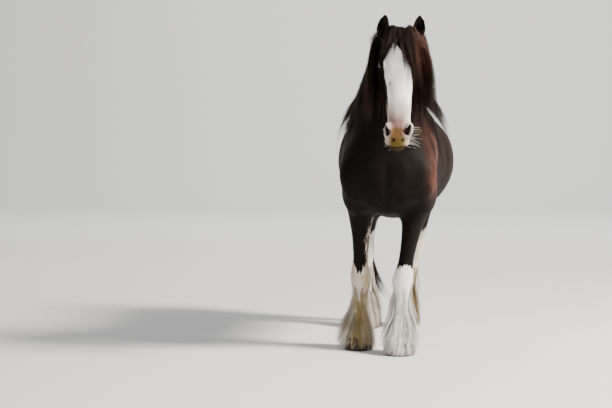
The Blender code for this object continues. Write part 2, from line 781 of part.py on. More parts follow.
def feather_core_rows(line, tall):
    """The dense inner half of the long hair on a lower leg. Tall is the height where it starts."""
    sections = (
        (tall, 0.054, 0.042, 0.066),
        (tall - 0.09, 0.064, 0.052, 0.086),
        (0.330, 0.073, 0.056, 0.100),
        (0.235, 0.084, 0.062, 0.112),
        (0.150, 0.098, 0.082, 0.118),
        (0.085, 0.110, 0.098, 0.122),
        (0.040, 0.113, 0.100, 0.122),
    )
    return [(*line(max(z, 0.10)), z, width, front, back, 2.05) for z, width, front, back in sections]


def feather_locks(line, fore, seed):
    """Tiers of locks from below the joint down to the heels, spreading like a bell over the hoof."""
    draw = random.Random(seed)
    # Height of the roots, how many, the arc they take round the back in degrees, length, standoff, width
    tiers = (
        (0.46, 3, 165 if fore else 125, 0.26, 0.034, 0.105),
        (0.300, 5, 260, 0.235, 0.036, 0.096),
        (0.150, 7, 350, 0.135, 0.012, 0.100),
    )
    core = np.array([row[2:6] for row in feather_core_rows(line, 0.50 if fore else 0.52)])
    made = []
    for height, count, arc, length, standoff, width in tiers:
        for i in range(count):
            angle = math.radians(-arc / 2 + arc * (i + 0.5) / count + between(draw, -4, 4))
            out = Vector((math.sin(angle), math.cos(angle), 0))
            side = Vector((out.y, -out.x, 0))
            reach = length * between(draw, 0.92, 1.06)
            points = []
            for k in range(5):
                t = k / 4
                z = max(0.009 + 0.005 * (i % 2), height - reach * t**0.95)
                x, y = line(max(z, 0.10))
                half, front, back = (float(np.interp(-z, -core[:, 0], core[:, axis])) for axis in (1, 2, 3))
                deep = back if out.y > 0 else front
                bulge = standoff * math.sin(min(1.0, t * 1.6) * math.pi / 2) - 0.018 * (1 - t) ** 2
                points.append(Vector((x + out.x * (half + bulge), y + out.y * (deep + bulge), z)))
            made.append(lock("feather", points, [out] * 5, side, width * between(draw, 0.95, 1.05), 0.022))
    return made


def tail_line(z):
    """The middle of the hanging tail at height z: it swings to the horse's right and back in at its end."""
    heights = (-1.62, -1.45, -1.20, -1.00, -0.80, -0.60, -0.40, -0.16)
    across = (-0.055, -0.070, -0.150, -0.240, -0.315, -0.342, -0.285, -0.140)
    behind = (0.960, 1.010, 1.052, 1.070, 1.080, 1.080, 1.070, 1.050)
    return float(np.interp(-z, heights, across)), float(np.interp(-z, heights, behind))


def tail_forms():
    """The dock, and the dense middle of the tail, as a tube whose sections turn with it."""
    # Height, half width, reach to the front, reach to the back
    sections = (
        (1.500, 0.046, 0.044, 0.044),
        (1.380, 0.052, 0.042, 0.046),
        (1.200, 0.060, 0.040, 0.050),
        (0.950, 0.060, 0.038, 0.048),
        (0.700, 0.046, 0.030, 0.038),
        (0.480, 0.022, 0.016, 0.020),
    )
    rows = [(swing(0.8), 0.800, 1.610, 0.052, 0.046, 0.046), (swing(0.9), 0.905, 1.600, 0.048, 0.044, 0.044)]
    rows += [(*tail_line(z), z, width, front, back) for z, width, front, back in sections]
    rows = spaced(rows, 0.105)
    angles = np.linspace(0, 2 * np.pi, 10, endpoint=False)
    rings = []
    for k, (x, y, z, width, front, back) in enumerate(rows):
        ahead = rows[min(k + 1, len(rows) - 1), 1:3] - rows[max(k - 1, 0), 1:3]
        ahead = ahead / np.linalg.norm(ahead)
        out = np.array((-ahead[1], ahead[0]))
        sin = np.sin(angles)
        deep = sin * np.where(sin > 0, back, front)
        ring = np.empty((len(angles), 3))
        ring[:, 0] = x + np.cos(angles) * width
        ring[:, 1] = y + deep * out[0]
        ring[:, 2] = z + deep * out[1]
        rings.append(ring)
    return in_triangles(skin_rings("tail_core", rings))


def tail_locks():
    """Long locks in three coats round the dense middle, the longest nearly to the fetlocks."""
    draw = random.Random(TAIL_SEED)
    made = []
    # How many, height of the roots, height of the lowest tip, distance from the middle line
    for row, (count, root_z, low, far) in enumerate(((5, 1.44, 0.40, 0.078), (4, 1.22, 0.26, 0.052), (3, 0.95, 0.18, 0.024))):
        for i in range(count):
            angle = 2 * math.pi * (i + 0.5 * (row % 2)) / count + between(draw, -0.1, 0.1)
            tip = low + between(draw, 0.0, 0.14)
            out = Vector((math.sin(angle), math.cos(angle), 0))
            side = Vector((out.y, -out.x, 0))
            phase = between(draw, 0, 6)
            points = []
            for k in range(6):
                t = k / 5
                z = root_z + (tip - root_z) * t
                x, y = tail_line(z)
                radius = 0.022 + (far - 0.022) * math.sin(min(1.0, 2.2 * t) * math.pi / 2) - 0.5 * far * t**3
                sway = 0.008 * math.sin(5 * t + phase)
                points.append(Vector((x + out.x * radius + sway, y + out.y * radius * 0.80, z)))
            made.append(lock("tail", points, [out] * 6, side, between(draw, 0.078, 0.088), 0.024))
    return made


# Share of the ear's length, half width, depth of the cup, half of the opening in degrees
EAR_PROFILE = (
    (0.00, 0.028, 0.026, 8),
    (0.14, 0.032, 0.029, 18),
    (0.32, 0.039, 0.031, 44),
    (0.54, 0.039, 0.028, 64),
    (0.76, 0.028, 0.018, 76),
    (0.92, 0.0125, 0.008, 84),
    (1.00, 0.0032, 0.0024, 86),
)
EAR_WALL = 0.0064
EAR_BOW = 0.014


def ear_bow(outward, share):
    """How far the ear bows outwards at a share of its length. Its tip turns back in."""
    return outward * (EAR_BOW * math.sin(math.pi * max(0, share)) - 0.012 * share**2)


def ear_place(outward):
    lean = math.radians(21.0 if outward > 0 else -5.0)
    return (
        HEAD_PLACE
        @ Matrix.Translation((0.083 * outward, 0.075, -0.050))
        @ Matrix.Rotation(lean, 4, "Y")
        @ Matrix.Rotation(math.radians(8.0), 4, "X")
        @ Matrix.Rotation(math.radians(12.0) * outward, 4, "Z")
    )


def ear_ring(flat, share, outward):
    """A level section of the ear, moved along the ear's slight bend."""
    ring = np.empty((len(flat), 3))
    ring[:, 0] = flat[:, 0] + ear_bow(outward, share)
    ring[:, 1] = flat[:, 1] - 0.010 * share**2
    ring[:, 2] = share * EAR_LENGTH
    return ring


def ear(side):
    """A cupped leaf, open to the front, that narrows to a curved tip and to a round foot."""
    outward = 1 if side == "left" else -1
    rings = []
    for share, half_width, depth, opening in EAR_PROFILE:
        turn = math.radians(180 - opening)
        arc = np.linspace(-turn, turn, 7)
        outer = np.stack([np.sin(arc) * half_width, np.cos(arc) * depth], 1)
        inner = outer[::-1] * max(0.35, 1 - EAR_WALL / max(half_width, 0.004))
        rings.append(ear_ring(np.concatenate([outer, inner]), share, outward))
    return in_triangles(skin_rings("ear_" + side, rings, ear_place(outward)))


def ear_space(side):
    """The whole space of an ear with a gap round it: what the head and the hair leave free for it."""
    outward = 1 if side == "left" else -1
    arc = np.linspace(0, 2 * np.pi, 12, endpoint=False)
    rings = []
    for share, half_width, depth, _ in EAR_PROFILE:
        flat = np.stack([np.sin(arc) * (half_width + 6 * GAP), np.cos(arc) * (depth + 6 * GAP)], 1)
        rings.append(ear_ring(flat, share, outward))
    rings[0][:, 2] -= GAP
    rings[-1][:, 2] += 5 * GAP
    return skin_rings("ear_space", rings, ear_place(outward))


def eye(side):
    outward = 1 if side == "left" else -1
    centre = (EYE_PLACE[0] * outward, *EYE_PLACE[1:])
    return in_triangles(muscle("eye_" + side, centre, (EYE_RADIUS,) * 3, (0, 90, 0), HEAD_PLACE, rings=8))


def lids(side):
    """The closed lids as a swelling round the eyeball."""
    outward = 1 if side == "left" else -1
    centre = (EYE_PLACE[0] * outward, *EYE_PLACE[1:])
    thick = (LID_THICKNESS, LID_THICKNESS + 0.007, LID_THICKNESS + 0.015)
    radii = [EYE_RADIUS + more for more in thick]
    return muscle("lids", centre, radii, (EYE_SLANT, 6, 11), HEAD_PLACE, rings=8)


def lid_opening(side):
    """The almond between the lids: a lens-shaped bar that starts inside the eyeball and points outwards."""
    outward = 1 if side == "left" else -1
    centre = Vector((EYE_PLACE[0] * outward, *EYE_PLACE[1:]))
    slant = Matrix.Rotation(math.radians(EYE_SLANT), 3, "X")
    count = 6
    rings = []
    for reach, spread in ((0.004, 0.86), (0.060, 1.35)):
        ring = []
        for k in range(2 * count):
            t = (k + 0.3) / count
            length = math.cos(math.pi * t) * EYE_OPENING[0]
            height = math.sin(math.pi * t) * EYE_OPENING[1] * (1.0 if t < 1 else 0.85)
            ring.append(centre + slant @ Vector((outward * reach, height * spread, length * spread)))
        rings.append(np.array(ring))
    return skin_rings("lid_opening", rings, HEAD_PLACE)


def roll(name, points, radii, place=None, sides=5):
    """A round bar of changing thickness along points."""
    rings = []
    for k, point in enumerate(points):
        along = (points[min(k + 1, len(points) - 1)] - points[max(k - 1, 0)]).normalized()
        side_way = along.orthogonal().normalized() if k == 0 else (side_way - along * side_way.dot(along)).normalized()
        other = along.cross(side_way)
        ring = []
        for j in range(sides):
            angle = 2 * math.pi * j / sides
            ring.append(point + (side_way * math.cos(angle) + other * math.sin(angle)) * radii[k])
        rings.append(np.array(ring))
    return skin_rings(name, rings, place)


def mouth_groove(tree):
    """A thin bar that follows the skin between the lips, from corner to corner."""
    inverse = HEAD_PLACE.inverted()
    points, radii = [], []
    count = 13
    for k in range(count):
        t = -1 + 2 * k / (count - 1)
        bend = abs(t)
        aim = Vector((0.090 * t, 0.094 + 0.036 * bend, -0.770 + 0.145 * bend**1.6))
        near, normal, _, _ = tree.find_nearest(HEAD_PLACE @ aim)
        points.append(inverse @ (near + normal * 0.001))
        radii.append(0.0034 * (0.45 + 0.55 * math.cos(math.pi / 2 * t)))
    return roll("mouth_groove", points, radii, HEAD_PLACE)


def nostril_cutters():
    """Two long hollows that slant inwards down the muzzle."""
    made = []
    for outward in (1, -1):
        look = Vector((0.60 * outward, -0.79, -0.10)).normalized()
        long_way = Vector((0.36 * outward, 0.16, 0.92))
        long_way = (long_way - look * look.dot(long_way)).normalized()
        turn = Matrix((long_way.cross(look), long_way, look)).transposed().to_4x4()
        centre = Vector((NOSTRIL[0] * outward, *NOSTRIL[1:])) - look * 0.004
        obj = muscle("nostril", (0, 0, 0), (1, 1, 1), rings=7)
        obj.data.transform(HEAD_PLACE @ Matrix.Translation(centre) @ turn @ Matrix.Diagonal((0.0160, 0.039, 0.026, 1)))
        made.append(obj)
    return made


def hoof(line, name):
    """A blunt cone with a flat sole, long in front and low at the heels."""
    x, y = line(0.085)
    # Height at the middle, half width, reach to the front, reach to the back
    sections = (
        (0.000, HOOF_HALF_WIDTH, 0.108, 0.082),
        (0.006, HOOF_HALF_WIDTH + 0.001, 0.109, 0.083),
        (0.045, HOOF_HALF_WIDTH - 0.005, 0.097, 0.080),
        (0.078, HOOF_HALF_WIDTH - 0.010, 0.086, 0.077),
    )
    angles = np.linspace(0, 2 * np.pi, 22, endpoint=False)
    rings = []
    for height, width, front, back in sections:
        across, along = rounded(angles, 2.15)
        ring = np.empty((len(angles), 3))
        ring[:, 0] = x + across * width * np.where(along > 0, 1 - 0.10 * along, 1)
        ring[:, 1] = y + along * np.where(along > 0, back, front)
        ring[:, 2] = height * (1 - 0.26 * along)
        rings.append(ring)
    return in_triangles(skin_rings(name, rings))


def paint(obj, finish):
    colour, roughness = COLOURS[finish]
    material = bpy.data.materials.new(obj.name)
    material.use_nodes = True
    shader = material.node_tree.nodes["Principled BSDF"]
    shader.inputs["Base Color"].default_value = (*colour, 1)
    shader.inputs["Roughness"].default_value = roughness
    shader.inputs["Metallic"].default_value = 0.0
    obj.data.materials.clear()
    obj.data.materials.append(material)
    for polygon in obj.data.polygons:
        polygon.material_index = 0
        polygon.use_smooth = True


def make_legs(body, nodes):
    for fore in (True, False):
        for side in ("left", "right"):
            end = "fore" if fore else "hind"
            name = f"{end}_leg_{side}"
            line = functools.partial(fore_line if fore else hind_line, side)
            leg = part_from(body, name, leg_region(side, fore), 400 if fore else 500, leg_region(side, fore, 0.04))
            core = level_loft("feather_core", feather_core_rows(line, 0.50 if fore else 0.52), 12, 0.10)
            combine(leg, "UNION", [core, *feather_locks(line, fore, FEATHER_SEEDS[name])])
            foot = hoof(line, f"hoof_{end}_{side}")
            combine(leg, "DIFFERENCE", [grown(foot)])
            nodes[name] = keep_largest(leg)
            nodes[foot.name] = foot


def make_head(body, tree, nodes):
    head = part_from(body, "head", head_region(-GAP), HEAD_TRIANGLES, head_region(0.04))
    skin = surface_of(head)
    space = grown(head, 0.7 * GAP)
    for side in ("left", "right"):
        ball = eye(side)
        combine(head, "UNION", [lids(side)])
        combine(head, "DIFFERENCE", [lid_opening(side)])
        combine(head, "DIFFERENCE", [grown(ball)])
        nodes[ball.name] = ball
    combine(head, "DIFFERENCE", nostril_cutters())
    combine(head, "DIFFERENCE", [mouth_groove(skin)])
    combine(head, "UNION", forelock_locks(tree))
    for side in ("left", "right"):
        combine(head, "DIFFERENCE", [ear_space(side)])
        nodes["ear_" + side] = ear(side)
    nodes["head"] = keep_largest(head)
    return space


def make_neck(body, tree, head_space, nodes):
    region = combine(neck_region(True, 0.0), "DIFFERENCE", [head_region(0.0)])
    margin = combine(neck_region(True, -0.04), "DIFFERENCE", [head_region(-0.04)])
    neck = part_from(body, "neck", region, 430, margin)
    combine(neck, "UNION", mane_locks(tree))
    combine(neck, "DIFFERENCE", [ear_space("left"), ear_space("right")])
    combine(neck, "DIFFERENCE", [head_space])
    nodes["neck"] = keep_largest(neck)


def make_trunk(body, nodes):
    region = neck_region(False, GAP)
    margin = neck_region(False, -0.04)
    for fore in (True, False):
        for side in ("left", "right"):
            combine(region, "DIFFERENCE", [leg_region(side, fore, GAP)])
            combine(margin, "DIFFERENCE", [leg_region(side, fore, -0.04)])
    nodes["torso"] = part_from(body, "torso", region, 1150, margin)


def make_tail(nodes):
    tail = tail_forms()
    combine(nodes["torso"], "DIFFERENCE", [grown(tail)])
    keep_largest(nodes["torso"])
    combine(tail, "UNION", tail_locks())
    nodes["tail"] = keep_largest(tail)


def main():
    clear_scene()
    body = fuse_body()
    tree = surface_of(body)
    nodes = {}
    make_legs(body, nodes)
    head_space = make_head(body, tree, nodes)
    make_neck(body, tree, head_space, nodes)
    make_trunk(body, nodes)
    make_tail(nodes)
    bpy.data.objects.remove(body)
    shift = Matrix.Translation((0, FORWARD_SHIFT, 0))
    for name, obj in nodes.items():
        obj.name = name
        obj.data.transform(shift)
        if "leg" in name:
            finish = "white_hair"
        elif "hoof" in name:
            finish = "horn"
        elif "eye" in name:
            finish = "eye"
        elif name in ("neck", "tail"):
            finish = "mane"
        else:
            finish = "coat"
        paint(obj, finish)


main()
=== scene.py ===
"""A life-size Shire horse with its coat, mane, tail and feather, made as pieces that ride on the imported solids.

Sections and heights are those of the solids. All shapes are made with the trunk's middle at y = 0 and are
then moved by FORWARD_SHIFT, as the solids were. +X is the horse's left, and it looks along -Y.
"""

import json
import math

import bmesh
import bpy
import numpy as np
from bpy.props import FloatProperty, FloatVectorProperty, PointerProperty
from mathutils import Euler, Matrix, Vector
from mathutils.bvhtree import BVHTree

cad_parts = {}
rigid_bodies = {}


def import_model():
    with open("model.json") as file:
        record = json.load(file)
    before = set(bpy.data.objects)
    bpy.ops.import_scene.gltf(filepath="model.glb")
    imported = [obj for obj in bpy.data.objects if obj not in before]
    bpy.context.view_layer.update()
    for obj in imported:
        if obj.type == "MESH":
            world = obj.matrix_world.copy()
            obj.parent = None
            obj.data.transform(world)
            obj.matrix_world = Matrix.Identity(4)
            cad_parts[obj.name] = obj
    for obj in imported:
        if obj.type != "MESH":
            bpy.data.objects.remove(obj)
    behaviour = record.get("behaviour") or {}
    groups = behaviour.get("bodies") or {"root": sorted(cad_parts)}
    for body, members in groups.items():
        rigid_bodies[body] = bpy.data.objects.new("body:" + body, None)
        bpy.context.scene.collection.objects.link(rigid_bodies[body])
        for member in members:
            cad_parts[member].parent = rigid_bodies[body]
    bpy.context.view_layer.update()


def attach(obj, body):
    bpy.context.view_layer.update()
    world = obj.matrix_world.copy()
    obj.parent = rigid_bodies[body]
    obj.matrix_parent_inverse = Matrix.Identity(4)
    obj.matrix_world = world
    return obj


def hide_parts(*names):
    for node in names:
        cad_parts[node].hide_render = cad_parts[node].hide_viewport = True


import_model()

bl_info = {
    "name": "Shire Horse",
    "version": (1, 0, 0),
    "blender": (4, 5, 0),
    "location": "View3D > Sidebar > Horse",
    "description": "Builds a standing Shire horse with its coat, mane, tail and feather",
    "category": "Add Mesh",
}

# Sizes shared with the solids, in metres.
BREAST = -0.965
BUTTOCK = 0.955
HEAD_LENGTH = 0.762
EAR_LENGTH = 0.19
FORWARD_SHIFT = 0.104
SHIFT = Matrix.Translation((0, FORWARD_SHIFT, 0))
POLL = Vector((0.095, -1.2, 2.185))
HEAD_PLACE = (
    Matrix.Translation(POLL)
    @ Matrix.Rotation(math.radians(1.5), 4, "Z")
    @ Matrix.Rotation(math.radians(-0.5), 4, "Y")
    @ Matrix.Rotation(math.radians(-12.0), 4, "X")
)
HEAD_TURN = np.array(HEAD_PLACE.to_3x3())
EYE_PLACE = (0.1105, 0.036, -0.212)
LEFT_NOSTRIL = (0.068, 0.012, -0.648)
RIGHT_NOSTRIL = (-0.085, 0.018, -0.648)
FORE_HEIGHTS = (1.2, 1.02, 0.53, 0.205, 0.085)
FORE_LEGS = {
    "left": ((0.18, -0.56), (0.096, -0.655), (0.086, -0.7), (0.078, -0.755)),
    "right": ((-0.207, -0.54), (-0.215, -0.505), (-0.225, -0.475), (-0.228, -0.52)),
}
HIND_HEIGHTS = (1.3, 1.05, 0.62, 0.21, 0.085)
HIND_LEGS = {
    "left": ((0.15, 0.62), (0.16, 0.48), (0.11, 0.875), (0.022, 0.845), (0.02, 0.795)),
    "right": ((-0.25, 0.6), (-0.262, 0.46), (-0.285, 0.8), (-0.276, 0.755), (-0.275, 0.705)),
}
HIP_SWING = -0.052
CAMERA_PLACE = (0.694, -10.826 + FORWARD_SHIFT, 1.45)
CAMERA_TURN = 7.17
CAMERA_DIP = 2.31
FRAME_PIXELS = 612
FOCAL_PIXELS = 1462
SENSOR_WIDTH = 36
MANE_FROM = 0.1
MANE_TO = 0.9


def size(name, description, default):
    return FloatProperty(name=name, description=description, default=default, unit="LENGTH")


def colour(name, description, default):
    return FloatVectorProperty(
        name=name, description=description, default=default, subtype="COLOR", size=3, min=0, max=1
    )


class HorseSizes(bpy.types.PropertyGroup):
    """Sizes of the hair and of the small parts"""

    coat_depth: size("Coat depth", "How far the skin lies inside the solids", 0.002)
    eye_radius: size("Eye radius", "Radius of the eyeball", 0.0235)
    mane_length: size("Mane length", "Length of the longest hair of the mane", 0.72)
    forelock_length: size("Forelock length", "Length of the forelock's longest hair", 0.42)
    feather_length: size("Feather length", "Length of the hair on the lower legs", 0.275)
    strand_width: size("Strand width", "Width of a strand of long hair", 0.0034)
    hoof_half_width: size("Hoof half width", "Half of a hoof's width", 0.094)


class HorseColours(bpy.types.PropertyGroup):
    """Colours of the coat, the hair and the small parts"""

    coat: colour("Coat", "The dark coat", (0.0048, 0.0033, 0.0029))
    # Reddish brown of coat faded by the sun, also laid on the lit left side as painted sunlight and sheen.
    bleached_and_sunlit: colour("Bleached coat", "Coat that the sun has turned brown", (0.076, 0.032, 0.022))
    white: colour("White", "White hair", (0.9, 0.87, 0.82))
    stained: colour("Stained white", "White hair that grass and mud have stained", (0.36, 0.235, 0.075))
    muzzle: colour("Muzzle", "Bare pink skin", (0.215, 0.118, 0.104))
    lip: colour("Lip", "Stained skin between the nostrils and on the lips", (0.122, 0.064, 0.024))
    mane: colour("Mane", "Long dark hair", (0.0048, 0.0031, 0.0028))
    # Reddish brown of hair faded by the sun, also laid on the lit crown and left side as painted sunlight.
    mane_bleached_and_sunlit: colour("Bleached mane", "Long hair that the sun has turned brown", (0.16, 0.066, 0.043))
    horn: colour("Horn", "The walls of the hooves", (0.02, 0.012, 0.008))
    iris: colour("Iris", "The brown of the eye", (0.045, 0.018, 0.008))
    floor: colour("Floor", "The studio floor and its backdrop", (0.8, 0.79, 0.77))


# Meshes and their points.


def deselect():
    for obj in bpy.context.view_layer.objects:
        obj.select_set(False)


def add_mesh(name, verts, faces):
    mesh = bpy.data.meshes.new(name)
    mesh.from_pydata([tuple(v) for v in verts], [], faces)
    obj = bpy.data.objects.new(name, mesh)
    bpy.context.scene.collection.objects.link(obj)
    return obj


def face_outwards(obj):
    bm = bmesh.new()
    bm.from_mesh(obj.data)
    bmesh.ops.recalc_face_normals(bm, faces=bm.faces)
    bm.to_mesh(obj.data)
    bm.free()


def points_of(obj):
    points = np.empty(len(obj.data.vertices) * 3, np.float32)
    obj.data.vertices.foreach_get("co", points)
    return points.reshape(-1, 3).astype(float)


def normals_of(obj):
    normals = np.empty(len(obj.data.vertices) * 3, np.float32)
    obj.data.vertex_normals.foreach_get("vector", normals)
    return normals.reshape(-1, 3).astype(float)


def move_points(obj, points):
    obj.data.vertices.foreach_set("co", points.astype(np.float32).ravel())
    obj.data.update()


def give_values(obj, name, values):
    layer = obj.data.attributes.get(name) or obj.data.attributes.new(name, "FLOAT", "POINT")
    layer.data.foreach_set("value", np.asarray(values, np.float32))


def fade(t):
    """0 below 0, 1 above 1, and a smooth step between."""
    t = np.clip(t, 0, 1)
    return t * t * (3 - 2 * t)


def bump_at(distance, width):
    return np.exp(-((distance / width) ** 2))


def wobble(points, scale, seed, waves=7):
    """A smooth random value between about -1 and 1 at each point, with features about scale metres across."""
    draw = np.random.default_rng(seed)
    total = np.zeros(len(points))
    for _ in range(waves):
        aim = draw.normal(size=3)
        aim *= 2 * math.pi / scale * draw.uniform(0.6, 1.5) / np.linalg.norm(aim)
        total += np.sin(points @ aim + draw.uniform(0, 2 * math.pi))
    return total / math.sqrt(waves * 1.2)


def tree_of(obj):
    mesh = obj.data
    mesh.calc_loop_triangles()
    corners = np.empty(len(mesh.loop_triangles) * 3, np.int32)
    mesh.loop_triangles.foreach_get("vertices", corners)
    return BVHTree.FromPolygons(points_of(obj).tolist(), corners.reshape(-1, 3).tolist())


def apply(obj, kind, **settings):
    """Adds a modifier, sets it up and applies it."""
    deselect()
    bpy.context.view_layer.objects.active = obj
    obj.select_set(True)
    modifier = obj.modifiers.new(kind.lower(), kind)
    for key, value in settings.items():
        setattr(modifier, key, value)
    bpy.ops.object.modifier_apply(modifier=modifier.name)


def join(name, objects):
    deselect()
    for obj in objects:
        obj.select_set(True)
    bpy.context.view_layer.objects.active = objects[0]
    bpy.ops.object.join()
    objects[0].name = name
    return objects[0]


def finish_piece(obj, material, slot, *nodes):
    """Moves the piece with the rest of the model, gives it its material and sets it on the frame."""
    obj.data.transform(SHIFT)
    obj.data.materials.clear()
    obj.data.materials.append(material)
    obj.data.polygons.foreach_set("use_smooth", np.ones(len(obj.data.polygons), bool))
    obj.data.update()
    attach(obj, "root")
    if nodes:
        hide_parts(*nodes)


# Lofts and muscles, with the same sections as the solids.


def smooth_through(knots, values, at):
    """A curve through the values that never overshoots them (monotone cubic)."""
    knots, values = np.asarray(knots, float), np.asarray(values, float)
    span = np.diff(knots)[:, None]
    slope = np.diff(values, axis=0) / span
    tangent = np.zeros_like(values)
    before, after = slope[:-1], slope[1:]
    w_before, w_after = 2 * span[1:] + span[:-1], span[1:] + 2 * span[:-1]
    safe = np.where(before * after > 0, 1.0, np.nan)
    mean = (w_before + w_after) / (w_before / (before * safe) + w_after / (after * safe))
    tangent[1:-1] = np.nan_to_num(mean)
    tangent[0], tangent[-1] = slope[0], slope[-1]
    i = np.clip(np.searchsorted(knots, at, side="right") - 1, 0, len(knots) - 2)
    t = ((at - knots[i]) / span[i, 0])[:, None]
    return (
        values[i] * (2 * t**3 - 3 * t**2 + 1)
        + values[i + 1] * (3 * t**2 - 2 * t**3)
        + tangent[i] * span[i] * (t**3 - 2 * t**2 + t)
        + tangent[i + 1] * span[i] * (t**3 - t**2)
    )


def skin_rings(name, rings, place=None):
    """A closed tube over rings that all have the same number of points."""
    verts = np.concatenate(rings)
    count = len(rings[0])
    faces = []
    for i in range(len(rings) - 1):
        for j in range(count):
            k = (j + 1) % count
            faces.append((i * count + j, i * count + k, (i + 1) * count + k, (i + 1) * count + j))
    faces.append(tuple(range(count))[::-1])
    faces.append(tuple((len(rings) - 1) * count + j for j in range(count)))
    obj = add_mesh(name, verts, faces)
    if place is not None:
        obj.data.transform(place)
    face_outwards(obj)
    return obj


def rounded(angles, power):
    """Cosine and sine of a superellipse: power 2 is round, more is squarer."""
    cos, sin = np.cos(angles), np.sin(angles)
    return np.sign(cos) * np.abs(cos) ** (2 / power), np.sign(sin) * np.abs(sin) ** (2 / power)


def spaced(rows, step):
    rows = np.array(rows, float)
    lengths = np.linalg.norm(np.diff(rows[:, :3], axis=0), axis=1)
    run = np.concatenate([[0.0], np.cumsum(lengths)])
    count = max(6, round(run[-1] / step))
    return smooth_through(run, rows, np.linspace(0, run[-1], count))


def slanted_loft(name, rows, sides, step):
    """Rows: x, y, z, lean, half width, half height, top power, low power. Lean tips the section's top back."""
    angles = np.linspace(0, 2 * np.pi, sides, endpoint=False)
    rings = []
    for x, y, z, lean, width, height, top, low in spaced(rows, step):
        across, up = rounded(angles, np.where(np.sin(angles) > 0, top, low))
        ring = np.empty((sides, 3))
        ring[:, 0] = x + across * width
        ring[:, 1] = y + up * height * math.sin(lean)
        ring[:, 2] = z + up * height * math.cos(lean)
        rings.append(ring)
    return skin_rings(name, rings)


def level_loft(name, rows, sides, step, place=None):
    """Rows: x, y, z, half width, reach to the front, reach to the back, power. Sections are level."""
    angles = np.linspace(0, 2 * np.pi, sides, endpoint=False)
    rings = []
    for x, y, z, width, front, back, power in spaced(rows, step):
        across, along = rounded(angles, power)
        ring = np.empty((sides, 3))
        ring[:, 0] = x + across * width
        ring[:, 1] = y + along * np.where(along > 0, back, front)
        ring[:, 2] = z
        rings.append(ring)
    return skin_rings(name, rings, place)


def muscle(name, centre, radii, turn=(0, 0, 0), place=None):
    """An ellipsoid with its own turn in degrees."""
    deselect()
    bpy.ops.mesh.primitive_uv_sphere_add(segments=24, ring_count=16, radius=1.0)
    obj = bpy.context.view_layer.objects.active
    obj.name = name
    spin = Euler([math.radians(angle) for angle in turn]).to_matrix().to_4x4()
    shape = Matrix.Translation(centre) @ spin @ Matrix.Diagonal((*radii, 1))
    obj.data.transform(shape if place is None else place @ shape)
    return obj


def muscle_pair(name, centre, radii, turn=(0, 0, 0), place=None):
    x, y, z = centre
    around_x, around_y, around_z = turn
    middle = 0 if place is not None else swing(y)
    return [
        muscle(name, (x + middle, y, z), radii, turn, place),
        muscle(name, (middle - x, y, z), radii, (around_x, -around_y, -around_z), place),
    ]


def swing(y):
    """How far the middle of the trunk lies to the side at y: nothing at the chest, all of it at the croup."""
    t = min(1.0, max(0.0, (y - 0.05) / 0.65))
    return HIP_SWING * t * t * (3 - 2 * t)


def trunk_form():
    # y, top, bottom, half width, power of the top half
    sections = (
        (BREAST, 1.36, 1.14, 0.12, 2.0),
        (-0.91, 1.48, 1.05, 0.24, 2.2),
        (-0.8, 1.62, 0.97, 0.315, 2.2),
        (-0.64, 1.74, 0.95, 0.335, 2.0),
        (-0.46, 1.78, 0.94, 0.345, 1.8),
        (-0.28, 1.76, 0.925, 0.375, 1.9),
        (-0.05, 1.72, 0.91, 0.425, 2.2),
        (0.18, 1.705, 0.915, 0.432, 2.3),
        (0.38, 1.725, 0.95, 0.41, 2.3),
        (0.56, 1.765, 1.0, 0.375, 2.2),
        (0.74, 1.755, 1.08, 0.345, 2.2),
        (0.88, 1.69, 1.2, 0.275, 2.2),
        (BUTTOCK, 1.58, 1.34, 0.15, 2.1),
    )
    rows = [
        (swing(y), y, (top + low) / 2, 0, width, (top - low) / 2, power, 1.8)
        for y, top, low, width, power in sections
    ]
    return slanted_loft("barrel", rows, 40, 0.04)


def neck_rows():
    # x, crest (y, z), throat (y, z), half width, power of the crest
    sections = (
        (0.0, (-0.26, 1.66), (-0.8, 1.08), 0.31, 1.9),
        (0.0, (-0.42, 1.785), (-0.93, 1.25), 0.28, 1.75),
        (0.015, (-0.58, 1.915), (-0.955, 1.42), 0.222, 1.7),
        (0.038, (-0.75, 2.045), (-0.945, 1.585), 0.172, 1.7),
        (0.064, (-0.92, 2.15), (-0.93, 1.72), 0.138, 1.75),
        (0.086, (-1.07, 2.208), (-0.95, 1.83), 0.115, 1.9),
        (0.095, (-1.16, 2.205), (-1.01, 1.9), 0.098, 2.0),
    )
    rows = []
    for x, (top_y, top_z), (low_y, low_z), width, power in sections:
        height = math.hypot(top_y - low_y, top_z - low_z) / 2
        lean = math.atan2(top_y - low_y, top_z - low_z)
        rows.append((x, (top_y + low_y) / 2, (top_z + low_z) / 2, lean, width, height, power, 2.1))
    return rows


def neck_form():
    return slanted_loft("neck", neck_rows(), 36, 0.03)


